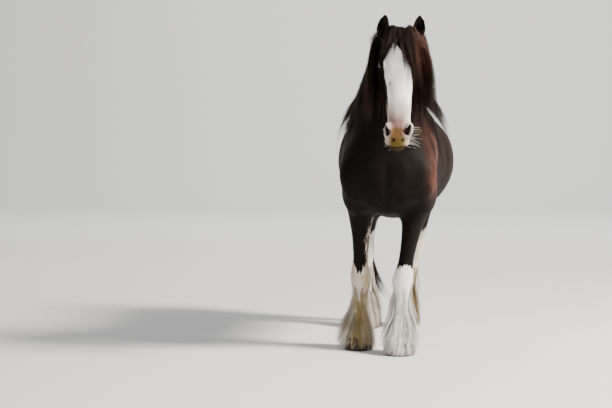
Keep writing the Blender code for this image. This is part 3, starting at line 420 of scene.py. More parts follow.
def head_forms():
    # Distance down the face, front line, back line, half width, power: the skull, then the lower jaw.
    skull = (
        (-0.012, 0.045, 0.12, 0.05, 2.2),
        (0.02, 0.012, 0.16, 0.084, 2.3),
        (0.08, -0.012, 0.2, 0.102, 2.4),
        (0.15, -0.022, 0.235, 0.113, 2.5),
        (0.23, -0.02, 0.25, 0.116, 2.6),
        (0.32, -0.008, 0.235, 0.104, 2.6),
        (0.42, 0.006, 0.205, 0.09, 2.6),
        (0.52, 0.014, 0.175, 0.081, 2.6),
        (0.595, 0.015, 0.166, 0.081, 2.5),
        (0.65, 0.012, 0.165, 0.085, 2.4),
        (0.695, 0.008, 0.158, 0.082, 2.3),
        (0.728, 0.014, 0.146, 0.071, 2.2),
        (0.748, 0.027, 0.13, 0.057, 2.1),
        (HEAD_LENGTH, 0.05, 0.11, 0.035, 2.0),
    )
    jaw = (
        (0.08, 0.14, 0.24, 0.055, 2.2),
        (0.15, 0.12, 0.3, 0.078, 2.2),
        (0.24, 0.1, 0.335, 0.088, 2.2),
        (0.33, 0.1, 0.322, 0.084, 2.2),
        (0.42, 0.1, 0.272, 0.07, 2.2),
        (0.52, 0.1, 0.226, 0.056, 2.2),
        (0.62, 0.1, 0.202, 0.05, 2.2),
        (0.675, 0.1, 0.195, 0.052, 2.2),
        (0.712, 0.11, 0.184, 0.048, 2.1),
        (0.732, 0.13, 0.168, 0.03, 2.0),
    )
    made = []
    for name, sections in (("skull", skull), ("jaw", jaw)):
        rows = [
            (0, (front + back) / 2, -down, width, (back - front) / 2, (back - front) / 2, power)
            for down, front, back, width, power in sections
        ]
        made.append(level_loft(name, rows, 32, 0.015, HEAD_PLACE))
    at = HEAD_PLACE
    made += muscle_pair("orbit", (0.1, 0.048, -0.205), (0.036, 0.046, 0.052), (0, 0, 0), at)
    made += muscle_pair("cheekbone", (0.087, 0.08, -0.315), (0.02, 0.024, 0.15), (4, 8, 0), at)
    made += muscle_pair("masseter", (0.068, 0.205, -0.27), (0.036, 0.115, 0.135), (0, 0, 0), at)
    made += muscle_pair("nostril_rim", (0.062, 0.038, -0.652), (0.034, 0.038, 0.062), (8, 10, 0), at)
    made.append(muscle("upper_lip", (0, 0.072, -0.724), (0.07, 0.058, 0.04), (0, 0, 0), at))
    made.append(muscle("lower_lip", (0, 0.126, -0.738), (0.046, 0.044, 0.029), (0, 0, 0), at))
    made.append(muscle("chin", (0, 0.168, -0.7), (0.042, 0.036, 0.036), (0, 0, 0), at))
    return made


def trunk_muscles():
    made = []
    for name, centre, radii, turn in (
        ("scapula", (0.185, -0.6, 1.44), (0.145, 0.2, 0.34), (-30, -8, 0)),
        ("shoulder_point", (0.195, -0.8, 1.25), (0.15, 0.13, 0.2), (-8, 0, 0)),
        ("pectoral", (0.105, -0.84, 1.17), (0.125, 0.11, 0.15), (-12, 0, 0)),
        ("upper_arm", (0.22, -0.66, 1.13), (0.12, 0.2, 0.18), (-25, 0, 0)),
        ("triceps", (0.225, -0.52, 1.17), (0.11, 0.17, 0.21), (15, 0, 0)),
        ("gluteal", (0.165, 0.6, 1.47), (0.2, 0.36, 0.275), (-14, 0, 0)),
        ("thigh", (0.2, 0.62, 1.24), (0.155, 0.25, 0.34), (-14, 4, 0)),
        ("buttock", (0.13, 0.83, 1.36), (0.125, 0.14, 0.27), (-10, 0, 0)),
        ("stifle", (0.215, 0.47, 1.12), (0.105, 0.12, 0.17), (-10, 0, 0)),
        ("inner_thigh", (0.12, 0.68, 1.1), (0.105, 0.2, 0.22), (-20, 0, 0)),
    ):
        made += muscle_pair(name, centre, radii, turn)
    return made


def fore_line(side, z):
    """The middle of a foreleg at height z."""
    elbow, knee, fetlock, foot = FORE_LEGS[side]
    outward = 1 if side == "left" else -1
    places = np.array(((0.2 * outward, elbow[1] - 0.06), elbow, knee, fetlock, foot))
    heights = -np.array(FORE_HEIGHTS)
    return np.interp(-z, heights, places[:, 0]), np.interp(-z, heights, places[:, 1])


def hind_line(side, z):
    """The middle of a hind leg at height z: it slopes back from the stifle to the hock."""
    hip, stifle, hock, fetlock, foot = HIND_LEGS[side]
    x = np.interp(-z, -np.array(HIND_HEIGHTS), [p[0] for p in (hip, stifle, hock, fetlock, foot)])
    heights = (1.3, 1.14, 1.02, 0.92, 0.82, 0.75, 0.7, 0.64, 0.58, 0.21, 0.155, 0.112, 0.085)
    ys = (
        stifle[1] + 0.16,
        stifle[1] + 0.12,
        stifle[1] + 0.14,
        stifle[1] + 0.2,
        stifle[1] + 0.27,
        hock[1] - 0.062,
        hock[1] - 0.024,
        hock[1] - 0.004,
        hock[1],
        fetlock[1],
        0.6 * fetlock[1] + 0.4 * foot[1],
        0.2 * fetlock[1] + 0.8 * foot[1],
        foot[1],
    )
    return x, np.interp(-z, -np.array(heights), ys)


# Height, half width, reach to the front and to the back, power.
FORE_SECTIONS = (
    (1.2, 0.12, 0.18, 0.18, 2.2),
    (1.06, 0.112, 0.16, 0.165, 2.2),
    (0.95, 0.092, 0.14, 0.144, 2.1),
    (0.86, 0.074, 0.12, 0.122, 2.1),
    (0.76, 0.061, 0.096, 0.094, 2.1),
    (0.64, 0.055, 0.074, 0.071, 2.2),
    (0.575, 0.066, 0.076, 0.068, 2.4),
    (0.52, 0.074, 0.076, 0.07, 2.5),
    (0.475, 0.068, 0.068, 0.07, 2.4),
    (0.43, 0.055, 0.058, 0.062, 2.2),
    (0.34, 0.049, 0.053, 0.06, 2.1),
    (0.27, 0.05, 0.053, 0.062, 2.1),
    (0.225, 0.06, 0.06, 0.072, 2.1),
    (0.195, 0.064, 0.064, 0.074, 2.1),
    (0.15, 0.06, 0.062, 0.064, 2.1),
    (0.11, 0.07, 0.07, 0.064, 2.1),
    (0.085, 0.076, 0.076, 0.068, 2.1),
    (0.055, 0.076, 0.076, 0.068, 2.1),
)
HIND_SECTIONS = (
    (1.3, 0.13, 0.2, 0.2, 2.1),
    (1.14, 0.125, 0.18, 0.2, 2.1),
    (1.02, 0.112, 0.16, 0.18, 2.1),
    (0.92, 0.095, 0.138, 0.15, 2.1),
    (0.82, 0.077, 0.108, 0.118, 2.1),
    (0.75, 0.066, 0.082, 0.108, 2.1),
    (0.7, 0.064, 0.078, 0.106, 2.2),
    (0.64, 0.068, 0.086, 0.088, 2.4),
    (0.58, 0.064, 0.08, 0.078, 2.4),
    (0.51, 0.053, 0.064, 0.07, 2.1),
    (0.42, 0.047, 0.057, 0.063, 2.1),
    (0.3, 0.049, 0.056, 0.064, 2.1),
    (0.235, 0.06, 0.062, 0.074, 2.1),
    (0.205, 0.064, 0.066, 0.076, 2.1),
    (0.155, 0.059, 0.062, 0.064, 2.1),
    (0.112, 0.069, 0.069, 0.064, 2.1),
    (0.085, 0.075, 0.075, 0.068, 2.1),
    (0.055, 0.075, 0.075, 0.068, 2.1),
)
LEGS = {
    "fore_leg_left": (fore_line, "left", FORE_SECTIONS),
    "fore_leg_right": (fore_line, "right", FORE_SECTIONS),
    "hind_leg_left": (hind_line, "left", HIND_SECTIONS),
    "hind_leg_right": (hind_line, "right", HIND_SECTIONS),
}


def leg_forms():
    made = []
    for line, side, sections in LEGS.values():
        rows = [(*line(side, z), z, width, front, back, power) for z, width, front, back, power in sections]
        made.append(level_loft("leg", rows, 24, 0.015))
    for side in ("left", "right"):
        hock_x, hock_y = HIND_LEGS[side][2]
        made.append(muscle("hock_point", (hock_x, hock_y + 0.04, 0.715), (0.034, 0.036, 0.105), (24, 0, 0)))
    return made


TAIL_HEIGHTS = (-1.62, -1.45, -1.2, -1.0, -0.8, -0.6, -0.4, -0.16)
TAIL_ACROSS = (-0.055, -0.07, -0.15, -0.24, -0.315, -0.342, -0.285, -0.14)
TAIL_BEHIND = (0.96, 1.01, 1.052, 1.07, 1.08, 1.08, 1.07, 1.05)


def tail_line(z):
    """The middle of the hanging tail at height z: it swings to the horse's right and back in at its end."""
    return np.interp(-z, TAIL_HEIGHTS, TAIL_ACROSS), np.interp(-z, TAIL_HEIGHTS, TAIL_BEHIND)


def dock_form():
    """The fleshy root of the tail."""
    rows = [(swing(0.8), 0.8, 1.61, 0.05, 0.045, 0.045, 2)]
    rows.append((swing(0.9), 0.905, 1.6, 0.046, 0.042, 0.042, 2))
    for z, width in ((1.54, 0.044), (1.48, 0.042), (1.36, 0.038), (1.24, 0.03), (1.16, 0.018)):
        rows.append((*tail_line(z), z, width, width * 0.85, width * 0.85, 2))
    rows = spaced(rows, 0.03)
    angles = np.linspace(0, 2 * np.pi, 14, endpoint=False)
    rings = []
    for k, (x, y, z, width, front, *_) in enumerate(rows):
        ahead = rows[min(k + 1, len(rows) - 1), 1:3] - rows[max(k - 1, 0), 1:3]
        ahead = ahead / np.linalg.norm(ahead)
        deep = np.sin(angles) * front
        ring = np.stack([x + np.cos(angles) * width, y - deep * ahead[1], z + deep * ahead[0]], 1)
        rings.append(ring)
    return skin_rings("dock", rings)


# The skin.


def edges_of(mesh):
    ends = np.empty(len(mesh.edges) * 2, np.int64)
    mesh.edges.foreach_get("vertices", ends)
    ends = ends.reshape(-1, 2)
    return np.concatenate([ends[:, 0], ends[:, 1]]), np.concatenate([ends[:, 1], ends[:, 0]])


def fair(obj, rounds, weight, forth=0.6, back=-0.25):
    """Draws points towards the middle of their neighbours and partly back, which fairs the creases."""
    points = points_of(obj)
    here, there = edges_of(obj.data)
    count = len(points)
    degree = np.maximum(np.bincount(here, minlength=count), 1)[:, None]
    weight = weight[:, None]
    for amount in [forth, back] * rounds:
        sums = [np.bincount(here, weights=points[there, axis], minlength=count) for axis in range(3)]
        points = points + (np.stack(sums, 1) / degree - points) * amount * weight
    move_points(obj, points)


def softness(points):
    """How far the fairing may move each point: all on the trunk, little on the head and the lower legs."""
    y, z = points[:, 1], points[:, 2]
    head = np.where(z > 1.4, np.clip((y + 1.02) / 0.12, 0.12, 1), 1)
    return head * np.clip((z - 0.72) / 0.3, 0.12, 1)


def fuse(name, forms, voxel):
    obj = join(name, forms)
    apply(obj, "REMESH", mode="VOXEL", voxel_size=voxel)
    return obj


def in_head(points):
    """The points in the head's own frame: x to its left, y to the back, z up."""
    return (points - np.array(POLL)) @ HEAD_TURN


def in_world(local):
    return local @ HEAD_TURN.T + np.array(POLL)


def split_near(obj, near, cuts):
    """Splits every edge whose two ends are near, which makes the mesh finer there."""
    bm = bmesh.new()
    bm.from_mesh(obj.data)
    flags = near.tolist()
    edges = [edge for edge in bm.edges if flags[edge.verts[0].index] and flags[edge.verts[1].index]]
    bmesh.ops.subdivide_edges(bm, edges=edges, cuts=cuts, use_grid_fill=True)
    bm.to_mesh(obj.data)
    bm.free()


def lay_on(obj, tree, weight):
    """Moves the points onto the nearest places of a surface, as far as the weight says."""
    points = points_of(obj)
    for i in np.nonzero(weight > 0.001)[0]:
        near = tree.find_nearest(Vector(points[i]))[0]
        points[i] += (np.array(near) - points[i]) * weight[i]
    move_points(obj, points)


def eye_axes(outward):
    """The eye's centre, its long axis towards the front corner, its short axis upwards, and where it looks."""
    centre = np.array((EYE_PLACE[0] * outward, EYE_PLACE[1], EYE_PLACE[2]))
    look = np.array((0.9 * outward, -0.42, 0.05))
    look /= np.linalg.norm(look)
    long_axis = np.array((0, -0.72, -0.69))
    long_axis -= look * (long_axis @ look)
    long_axis /= np.linalg.norm(long_axis)
    up = np.cross(look, long_axis) * outward
    up *= np.sign(up[2])
    return centre, long_axis, up, look


def almond(u, v):
    """Distance outside the opening between the lids (negative inside), in the eye's own axes."""
    half = 0.0215
    reach = np.clip(1 - (u / half) ** 2, 0, 1)
    height = np.where(v > 0, 0.013, 0.01) * reach**0.75
    inside = np.abs(v) - height
    corner = np.hypot(np.maximum(np.abs(u) - half, 0), v)
    return np.where(np.abs(u) < half, inside, corner)


def shape_eyes(local, radius):
    """Wraps the lids over the eyeballs, sinks the opening behind them and adds the folds round them."""
    for outward in (1, -1):
        centre, long_axis, up, look = eye_axes(outward)
        offset = local - centre
        u, v, w = offset @ long_axis, offset @ up, offset @ look
        out = np.linalg.norm(offset, axis=1)
        gap = almond(u, v)
        facing = fade(w / np.maximum(out, 1e-6) * 2.5)
        weight = fade((0.02 - gap) / 0.016) * facing * fade((0.062 - out) / 0.02)
        lid = radius + 0.001 + 0.0032 * fade((gap + 0.0004) / 0.002) - 0.0075 * fade((-gap - 0.0002) / 0.0016)
        aim = offset / np.maximum(out, 1e-6)[:, None]
        local += (centre + aim * lid[:, None] - local) * weight[:, None]
        above = facing * fade(v / 0.006) * fade((0.055 - out) / 0.015) * fade((0.03 - np.abs(u)) / 0.012)
        below = facing * fade(-v / 0.006) * fade((0.055 - out) / 0.015) * fade((0.028 - np.abs(u)) / 0.012)
        fold = -0.0016 * bump_at(gap - 0.0072, 0.0016) + 0.0018 * bump_at(gap - 0.0108, 0.0026)
        fold += -0.0013 * bump_at(gap - 0.015, 0.0018)
        under = -0.0011 * bump_at(gap - 0.0065, 0.0015) + 0.0008 * bump_at(gap - 0.0095, 0.002)
        local += aim * (fold * above + under * below)[:, None]
        corner = offset - long_axis * 0.0245 + up * 0.001
        local -= look * (0.0035 * bump_at(np.linalg.norm(corner, axis=1), 0.0042))[:, None]


def nostril_place(outward):
    """The middle of a nostril. The right one lies further round the side."""
    return np.array(LEFT_NOSTRIL if outward > 0 else RIGHT_NOSTRIL)


def nostril_reach(local, outward):
    """How far out of a nostril each point lies (1 on its edge), the way out, its narrow axis and its fold."""
    look = np.array((0.56 if outward > 0 else -0.7, -0.79, -0.1))
    look /= np.linalg.norm(look)
    long_axis = np.array((0.15 if outward > 0 else -0.16, 0.16, 0.92))
    long_axis -= look * (long_axis @ look)
    long_axis /= np.linalg.norm(long_axis)
    across = np.cross(look, long_axis)
    offset = local - nostril_place(outward)
    u, v, w = offset @ long_axis, offset @ across * outward, offset @ look
    bend = v - 0.006 * np.cos(u / 0.038 * 1.6)
    width = 0.0165 + np.where(bend > 0, 0.0085, 0.0) * fade(-u / 0.012)
    front = fade((w + 0.05) / 0.02)
    whole = (np.abs(u / 0.041) ** 3.4 + np.abs(bend / width) ** 2.6) ** (1 / 2.8)
    pinch = (0.5 if outward > 0 else 0.2) * fade((u - 0.001) / 0.013)
    narrow = np.where(bend > 0, width * (1 - pinch), width)
    reach = (np.abs(u / 0.041) ** 3.4 + np.abs(bend / narrow) ** 2.6) ** (1 / 2.8)
    return reach + 9 * (1 - front), look, bend, fade((1.15 - whole) / 0.2) * front


def shape_nostrils(local):
    """Sinks the long, slanting nostrils and raises their rims."""
    for outward in (1, -1):
        reach, look, bend, fold = nostril_reach(local, outward)
        sink = 0.036 * fade((1.06 - reach) / 0.45) + 0.004 * fold
        rim = 0.0034 * bump_at(reach - 1.38, 0.3)
        hood = 0.003 * bump_at(reach - 1.25, 0.35) * fade(-bend / 0.006)
        local += look * (rim + hood)[:, None]
        local -= (look * 0.8 + np.array((0.45 * outward, -0.1, -0.45)) * 0.25) * sink[:, None]


def mouth_line():
    """Points along the line between the lips, from the horse's left corner to its right one."""
    points = []
    for t in np.linspace(-1, 1, 161):
        bend = abs(t)
        across = 0.086 * math.sin(0.48 * math.pi * t)
        points.append((across, 0.045 + 0.12 * bend**2, -0.75 + 0.036 * bend**2 + 0.066 * bend**3))
    return np.array(points)


def line_on(points, skin):
    """The same points on the skin, in the head's own frame."""
    return in_head(np.array([skin.find_nearest(Vector(in_world(point)))[0] for point in points]))


def shape_mouth(local, skin):
    """Cuts the line of the mouth into the skin and swells the lips beside it."""
    line = line_on(mouth_line(), skin)
    close = np.nonzero((local[:, 2] < -0.6) & (local[:, 1] < 0.22))[0]
    gap = np.min(np.linalg.norm(local[close, None, :] - line[None, :, :], axis=2), axis=1)
    middle = np.array((0, 0.1, -0.7))
    aim = local[close] - middle
    aim /= np.linalg.norm(aim, axis=1)[:, None]
    move = -0.009 * bump_at(gap, 0.0032) + 0.0022 * bump_at(gap - 0.009, 0.005)
    local[close] += aim * move[:, None]


def dent(local, normals, places):
    """Lowers or raises round places, given in pairs: centre, radius, height."""
    move = np.zeros(len(local))
    for (x, y, z), radius, height in places:
        for outward in (1, -1) if x else (1,):
            away = np.linalg.norm(local - np.array((x * outward, y, z)), axis=1)
            move += height * bump_at(away, radius)
    local += normals * move[:, None]


HEAD_DENTS = (
    ((0.08, 0.015, -0.128), 0.024, -0.0075),
    ((0.098, 0.0, -0.172), 0.016, 0.0045),
    ((0.06, -0.01, -0.3), 0.035, -0.003),
    ((0.078, 0.03, -0.43), 0.04, -0.006),
    ((0.05, 0.008, -0.56), 0.035, -0.002),
    ((0.076, 0.08, -0.56), 0.035, -0.004),
    ((0.0, 0.2, -0.655), 0.022, -0.005),
    ((0.092, 0.11, -0.2), 0.022, -0.004),
    ((0.0, 0.014, -0.712), 0.012, -0.0018),
    ((0.085, 0.145, -0.395), 0.025, -0.003),
    ((0.064, 0.06, -0.725), 0.024, 0.007),
    ((0.03, 0.02, -0.7), 0.02, 0.0025),
    ((0.1, 0.165, -0.115), 0.028, -0.005),
)


def body_grooves(points, normals):
    """The hollows and ridges of the trunk and the legs that lie under the short coat."""
    x, y, z = points.T
    side = np.abs(x - np.vectorize(swing)(y))
    move = np.zeros(len(points))
    breast = fade((-0.8 - y) / 0.08) * fade((1.36 - z) / 0.1) * fade((z - 0.98) / 0.05)
    move -= 0.01 * bump_at(x, 0.022) * breast
    croup = fade((y - 0.4) / 0.15) * fade((0.93 - y) / 0.05) * fade((z - 1.6) / 0.08)
    move -= 0.014 * bump_at(side, 0.022) * croup
    spine = fade((y + 0.35) / 0.2) * fade((0.4 - y) / 0.15) * fade((z - 1.6) / 0.05)
    move -= 0.006 * bump_at(side, 0.018) * spine
    flank = bump_at(y - 0.33, 0.07) * bump_at(z - 1.4 + 0.5 * (y - 0.33), 0.11) * fade((side - 0.25) / 0.08)
    move -= 0.014 * flank
    hip = bump_at(np.hypot(y - 0.36, z - 1.61), 0.045) * fade((side - 0.2) / 0.05)
    move += 0.01 * hip
    blade = bump_at((y + 0.44) * 0.87 - (z - 1.45) * 0.42, 0.045)
    blade = blade * fade((z - 1.15) / 0.2) * fade((1.72 - z) / 0.15)
    move -= 0.007 * blade * fade((side - 0.2) / 0.06) * fade((-0.1 - y) / 0.1)
    front = bump_at((y + 0.8) * 0.8 - (z - 1.45) * 0.6, 0.04)
    front = front * fade((z - 1.18) / 0.2) * fade((1.68 - z) / 0.15)
    move -= 0.006 * front * fade((side - 0.17) / 0.05)
    girth = bump_at(y + 0.36, 0.03) * fade((1.25 - z) / 0.1) * fade((side - 0.12) / 0.05)
    move -= 0.007 * girth
    for k in range(7):
        rib = bump_at((y - (-0.16 + 0.065 * k)) - 0.28 * (1.35 - z), 0.016)
        move += 0.0007 * rib * fade((z - 1.1) / 0.1) * fade((1.55 - z) / 0.08) * fade((side - 0.3) / 0.06)
    thigh = bump_at((y - 0.8) + 0.3 * (z - 1.2), 0.018) * fade((z - 1.0) / 0.08) * fade((1.5 - z) / 0.08)
    move -= 0.008 * thigh * fade((side - 0.1) / 0.05)
    move += 0.0018 * wobble(points, 0.16, 5) * fade((z - 0.75) / 0.2)
    points += normals * move[:, None]


EAR_PROFILE = np.array(
    (
        (0.0, 0.028, 0.026, 8),
        (0.14, 0.033, 0.029, 18),
        (0.32, 0.041, 0.031, 44),
        (0.54, 0.0435, 0.029, 64),
        (0.76, 0.0355, 0.021, 76),
        (0.92, 0.0185, 0.0105, 84),
        (1.0, 0.0036, 0.0026, 86),
    )
)
EAR_WALL = 0.0052
EAR_BOW = 0.017


def ear_bow(outward, share):
    """How far the ear bows outwards at a share of its length. Its tip turns back in."""
    return outward * (EAR_BOW * np.sin(math.pi * np.maximum(0, share)) - 0.012 * share**2)


def ear_place(outward):
    lean = math.radians(21.0 if outward > 0 else -5.0)
    return (
        HEAD_PLACE
        @ Matrix.Translation((0.083 * outward, 0.075, -0.05))
        @ Matrix.Rotation(lean, 4, "Y")
        @ Matrix.Rotation(math.radians(8.0), 4, "X")
        @ Matrix.Rotation(math.radians(12.0) * outward, 4, "Z")
    )


def ear_section(share):
    """The half width, the depth and the opening of an ear at one height."""
    return smooth_through(EAR_PROFILE[:, 0], EAR_PROFILE, np.array([share]))[0][1:]


def ear(outward):
    """A cupped leaf with a rolled rim. Its foot reaches down into the head."""
    rings = []
    for share in np.concatenate([[-0.12], np.linspace(0, 0.96, 23), [0.985, 1.0]]):
        half_width, depth, opening = ear_section(max(share, 0))
        turn = math.radians(180 - opening)
        arc = np.linspace(-turn, turn, 25)
        outer = np.stack([np.sin(arc) * half_width, np.cos(arc) * depth], 1)
        inner = outer[::-1] * max(0.35, 1 - EAR_WALL / max(half_width, 0.004))
        rim = np.array([outer[-1] * 0.5 + inner[0] * 0.5 + (outer[-1] - outer[-2]) * 0.5])
        other = np.array([outer[0] * 0.5 + inner[-1] * 0.5 + (outer[0] - outer[1]) * 0.5])
        flat = np.concatenate([outer, rim, inner, other])
        ring = np.empty((len(flat), 3))
        ring[:, 0] = flat[:, 0] + ear_bow(outward, share)
        ring[:, 1] = flat[:, 1] - 0.01 * share**2
        ring[:, 2] = share * EAR_LENGTH * (1 if share > 0 else 1.4)
        rings.append(ring)
    return skin_rings("ear", rings, ear_place(outward))


def make_skin(sizes):
    forms = [trunk_form(), neck_form(), dock_form()] + head_forms() + trunk_muscles() + leg_forms()
    body = fuse("skin", forms, 0.0165)
    fair(body, 33, softness(points_of(body)))
    # The head is split finer and laid on a finely fused form
    fine = fuse("fine_head", [neck_form()] + head_forms(), 0.005)
    fine_points = points_of(fine)
    fine_local = in_head(fine_points)
    fair(fine, 60, 0.1 + 0.9 * fade((fine_local[:, 1] - 0.16) / 0.2))
    local = in_head(points_of(body))
    zone = (local[:, 1] < 0.33) & (local[:, 2] < 0.03) & (local[:, 2] > -0.85) & (np.abs(local[:, 0]) < 0.25)
    split_near(body, zone, 2)
    local = in_head(points_of(body))
    weight = fade((0.31 - local[:, 1]) / 0.1) * fade((local[:, 2] + 0.86) / 0.02)
    lay_on(body, tree_of(fine), weight * (np.abs(local[:, 0]) < 0.25))
    bpy.data.objects.remove(fine)
    points = points_of(body)
    local = in_head(points)
    fair(body, 2, fade((0.4 - local[:, 1]) / 0.1) * fade((local[:, 2] + 0.9) / 0.02))
    # It is finer still round the eyes, the nostrils and the mouth
    for reach in (0.045, 0.036):
        local = in_head(points_of(body))
        near = np.zeros(len(local), bool)
        for outward in (1, -1):
            near |= np.linalg.norm(local - eye_axes(outward)[0], axis=1) < reach
            near |= np.linalg.norm(local - nostril_place(outward), axis=1) < reach + 0.014
        if reach == 0.045:
            line = mouth_line()
            close = np.nonzero((local[:, 2] < -0.6) & (local[:, 1] < 0.24))[0]
            gap = np.min(np.linalg.norm(local[close, None, :] - line[None, :, :], axis=2), axis=1)
            near[close] |= gap < 0.022
        split_near(body, near, 1)
    local = in_head(points_of(body))
    muzzle = 0.8 * fade((-0.4 - local[:, 2]) / 0.1) * fade((0.3 - local[:, 1]) / 0.1)
    fair(body, 2, muzzle * (local[:, 2] > -0.9))
    points, normals = points_of(body), normals_of(body)
    body_grooves(points, normals)
    local = in_head(points)
    dent(local, normals @ HEAD_TURN, HEAD_DENTS)
    depth = sizes.coat_depth * np.where(points[:, 1] < -0.95, 0.5, 1.0)
    local -= (normals @ HEAD_TURN) * depth[:, None]
    aside = 0.011 * fade((-0.65 - local[:, 2]) / 0.06) * (local[:, 1] < 0.3)
    local[:, 0] -= aside * fade((local[:, 2] + 0.9) / 0.05)
    shape_mouth(local, tree_of(body))
    shape_nostrils(local)
    shape_eyes(local, sizes.eye_radius)
    move_points(body, in_world(local))
    for outward in (1, -1):
        shell = ear(outward)
        apply(body, "BOOLEAN", operation="UNION", object=shell, solver="MANIFOLD")
        bpy.data.objects.remove(shell)
    keep_largest(body)
    local = in_head(points_of(body))
    foot = np.zeros(len(local))
    for outward in (1, -1):
        away = np.linalg.norm(local - np.array((0.083 * outward, 0.075, -0.04)), axis=1)
        foot = np.maximum(foot, fade((0.05 - away) / 0.02) * 0.8)
    fair(body, 8, foot)
    return body


def keep_largest(obj):
    """Drops every scrap that isn't joined to the largest surface."""
    mesh = obj.data
    here, there = edges_of(mesh)
    label = np.arange(len(mesh.vertices))
    while True:
        lower = label.copy()
        np.minimum.at(lower, here, label[there])
        lower = lower[lower]
        if np.array_equal(lower, label):
            break
        label = lower
    main = np.bincount(label).argmax()
    if np.all(label == main):
        return
    bm = bmesh.new()
    bm.from_mesh(mesh)
    bm.verts.ensure_lookup_table()
    loose = [bm.verts[i] for i in np.nonzero(label != main)[0]]
    bmesh.ops.delete(bm, geom=loose, context="VERTS")
    bm.to_mesh(mesh)
    bm.free()


# Markings: each is a distance inside the white, in metres, and negative on the dark coat.


def blaze(local):
    down = -local[:, 2]
    angle = np.degrees(np.arctan2(local[:, 0], 0.1 - local[:, 1]))
    knots = (0.06, 0.095, 0.14, 0.18, 0.21, 0.245, 0.285, 0.35, 0.41, 0.475, 0.535, 0.6, 0.65, 0.7)
    right = np.interp(down, knots, (-20, -24, -41, -45, -46, -48, -54, -49, -54, -51, -56, -80, -120, -178))
    left = np.interp(down, knots, (-18, -2, 14, 26, 33, 40, 47, 61, 66, 66, 74, 92, 130, 178))
    sides = np.minimum(angle - right, left - angle) * math.radians(1) * 0.09
    field = np.minimum(sides, down - 0.06)
    spot = np.linalg.norm((local - np.array((-0.056, -0.01, -0.34))) * (1, 0.4, 0.65), axis=1)
    field = np.minimum(field, spot - 0.01)
    here = (local[:, 1] < 0.34) & (np.abs(local[:, 0]) < 0.2) & (down < 0.86) & (down > -0.05)
    return np.where(here & (local[:, 1] < 0.3), field, -0.5)


def stockings(points):
    field = np.full(len(points), -0.5)
    borders = {"fore_leg_left": 0.602, "fore_leg_right": 0.618, "hind_leg_left": 0.8, "hind_leg_right": 0.78}
    for name, (line, side, _) in LEGS.items():
        x, y = line(side, points[:, 2])
        away = np.hypot(points[:, 0] - x, points[:, 1] - y)
        angle = np.arctan2(points[:, 0] - x, y - points[:, 1])
        border = borders[name] + np.zeros(len(points))
        streak = np.full(len(points), -0.5)
        if name == "fore_leg_right":
            border -= 0.075 * bump_at(angle, 0.42)
            border += 0.04 * bump_at(angle - 1.5, 0.5)
            # Thin white streaks up the inner forearm stand for the sun glinting on the veins: painted highlights,
            # drawn as white hair.
            for middle, high in ((0.85, 0.86), (1.35, 0.93)):
                drift = middle + 0.1 * np.sin(points[:, 2] * 31)
                edge = 0.008 - 0.055 * np.abs(angle - drift)
                streak = np.maximum(streak, np.minimum(edge, 0.4 * (high - points[:, 2])))
        elif name == "fore_leg_left":
            border += 0.012 * np.sin(angle * 3 + 1)
        else:
            border += 0.05 * np.cos(angle - math.pi) + 0.02 * np.sin(angle * 2)
        here = (away < 0.16) & (points[:, 2] < 0.95)
        field = np.where(here, np.maximum(field, np.maximum(border - points[:, 2], streak)), field)
    return field


def white_field(points):
    """Every white marking of the horse, with painted highlights on the right foreleg's inner forearm."""
    return np.maximum(blaze(in_head(points)), stockings(points))


def bare_field(local):
    """Bare skin: a strip between the nostrils that widens into the lips, as a distance inside its border."""
    down, side = -local[:, 2], np.abs(local[:, 0] + 0.01)
    strip = np.minimum(0.5 * (down - 0.566), 0.041 + 0.08 * np.maximum(0, down - 0.64) - side)
    strip = np.where(local[:, 1] < 0.09, strip, -0.5)
    field = np.maximum(strip, down - 0.722 - 9 * side**2)
    return np.where((local[:, 1] < 0.15) & (down < 0.86) & (side < 0.2), field, -0.5)


def lip_stain(local):
    """0 on pink skin, 1 on the ochre upper lip and 2 on its grass-stained edge."""
    down = -local[:, 2]
    muzzle = fade((0.26 - local[:, 1]) / 0.1) * (down < 0.9) * (np.abs(local[:, 0]) < 0.2)
    return (fade((down - 0.6) / 0.065) + fade((down - 0.7) / 0.038)) * muzzle


def lip_spots(local):
    """Two dark spots on the upper lip."""
    spots = np.zeros(len(local))
    for x in (-0.03, 0.029):
        away = np.linalg.norm((local - np.array((x, 0.012, -0.7145))) * (1, 0.3, 1), axis=1)
        spots = np.maximum(spots, fade((0.0165 - away) / 0.01))
    return spots


def leg_stain(points):
    """How far grass and mud have stained the white of the legs."""
    stain = np.zeros(len(points))
    amounts = {"fore_leg_left": 0.14, "fore_leg_right": 0.95, "hind_leg_left": 0.8, "hind_leg_right": 0.35}
    for name, (line, side, _) in LEGS.items():
        x, y = line(side, points[:, 2])
        here = (np.hypot(points[:, 0] - x, points[:, 1] - y) < 0.24) & (points[:, 2] < 0.95)
        amount = amounts[name] * np.ones(len(points))
        if name == "fore_leg_right":
            front = bump_at(points[:, 0] - x, 0.055) * fade((y + 0.03 - points[:, 1]) / 0.05)
            knee = fade((points[:, 2] - 0.4) / 0.08)
            inner = fade((points[:, 0] - x) / 0.05) * fade((0.2 - points[:, 2]) / 0.1)
            amount *= np.clip(0.18 + 0.8 * front + 0.5 * knee + 0.5 * inner, 0, 1)
        stain = np.where(here, np.maximum(stain, amount), stain)
    return stain


def bleach_and_painted_sun(points):
    """Where the dark coat is reddish brown: on the left of the neck, shoulder and flank. It is partly coat faded
    by the sun and partly painted sunlight and sheen on the lit side.
    """
    x, y, z = points.T
    width = 0.042 + 0.065 * fade((z - 1.38) / 0.25)
    neck = bump_at(x - 0.318, width) * fade((z - 1.0) / 0.2) * fade((-0.45 - y) / 0.15)
    side = 0.2 * fade((x - 0.22) / 0.2) * fade((z - 0.9) / 0.4)
    return np.clip(neck + side, 0, 1) * fade((2.06 - z) / 0.14)


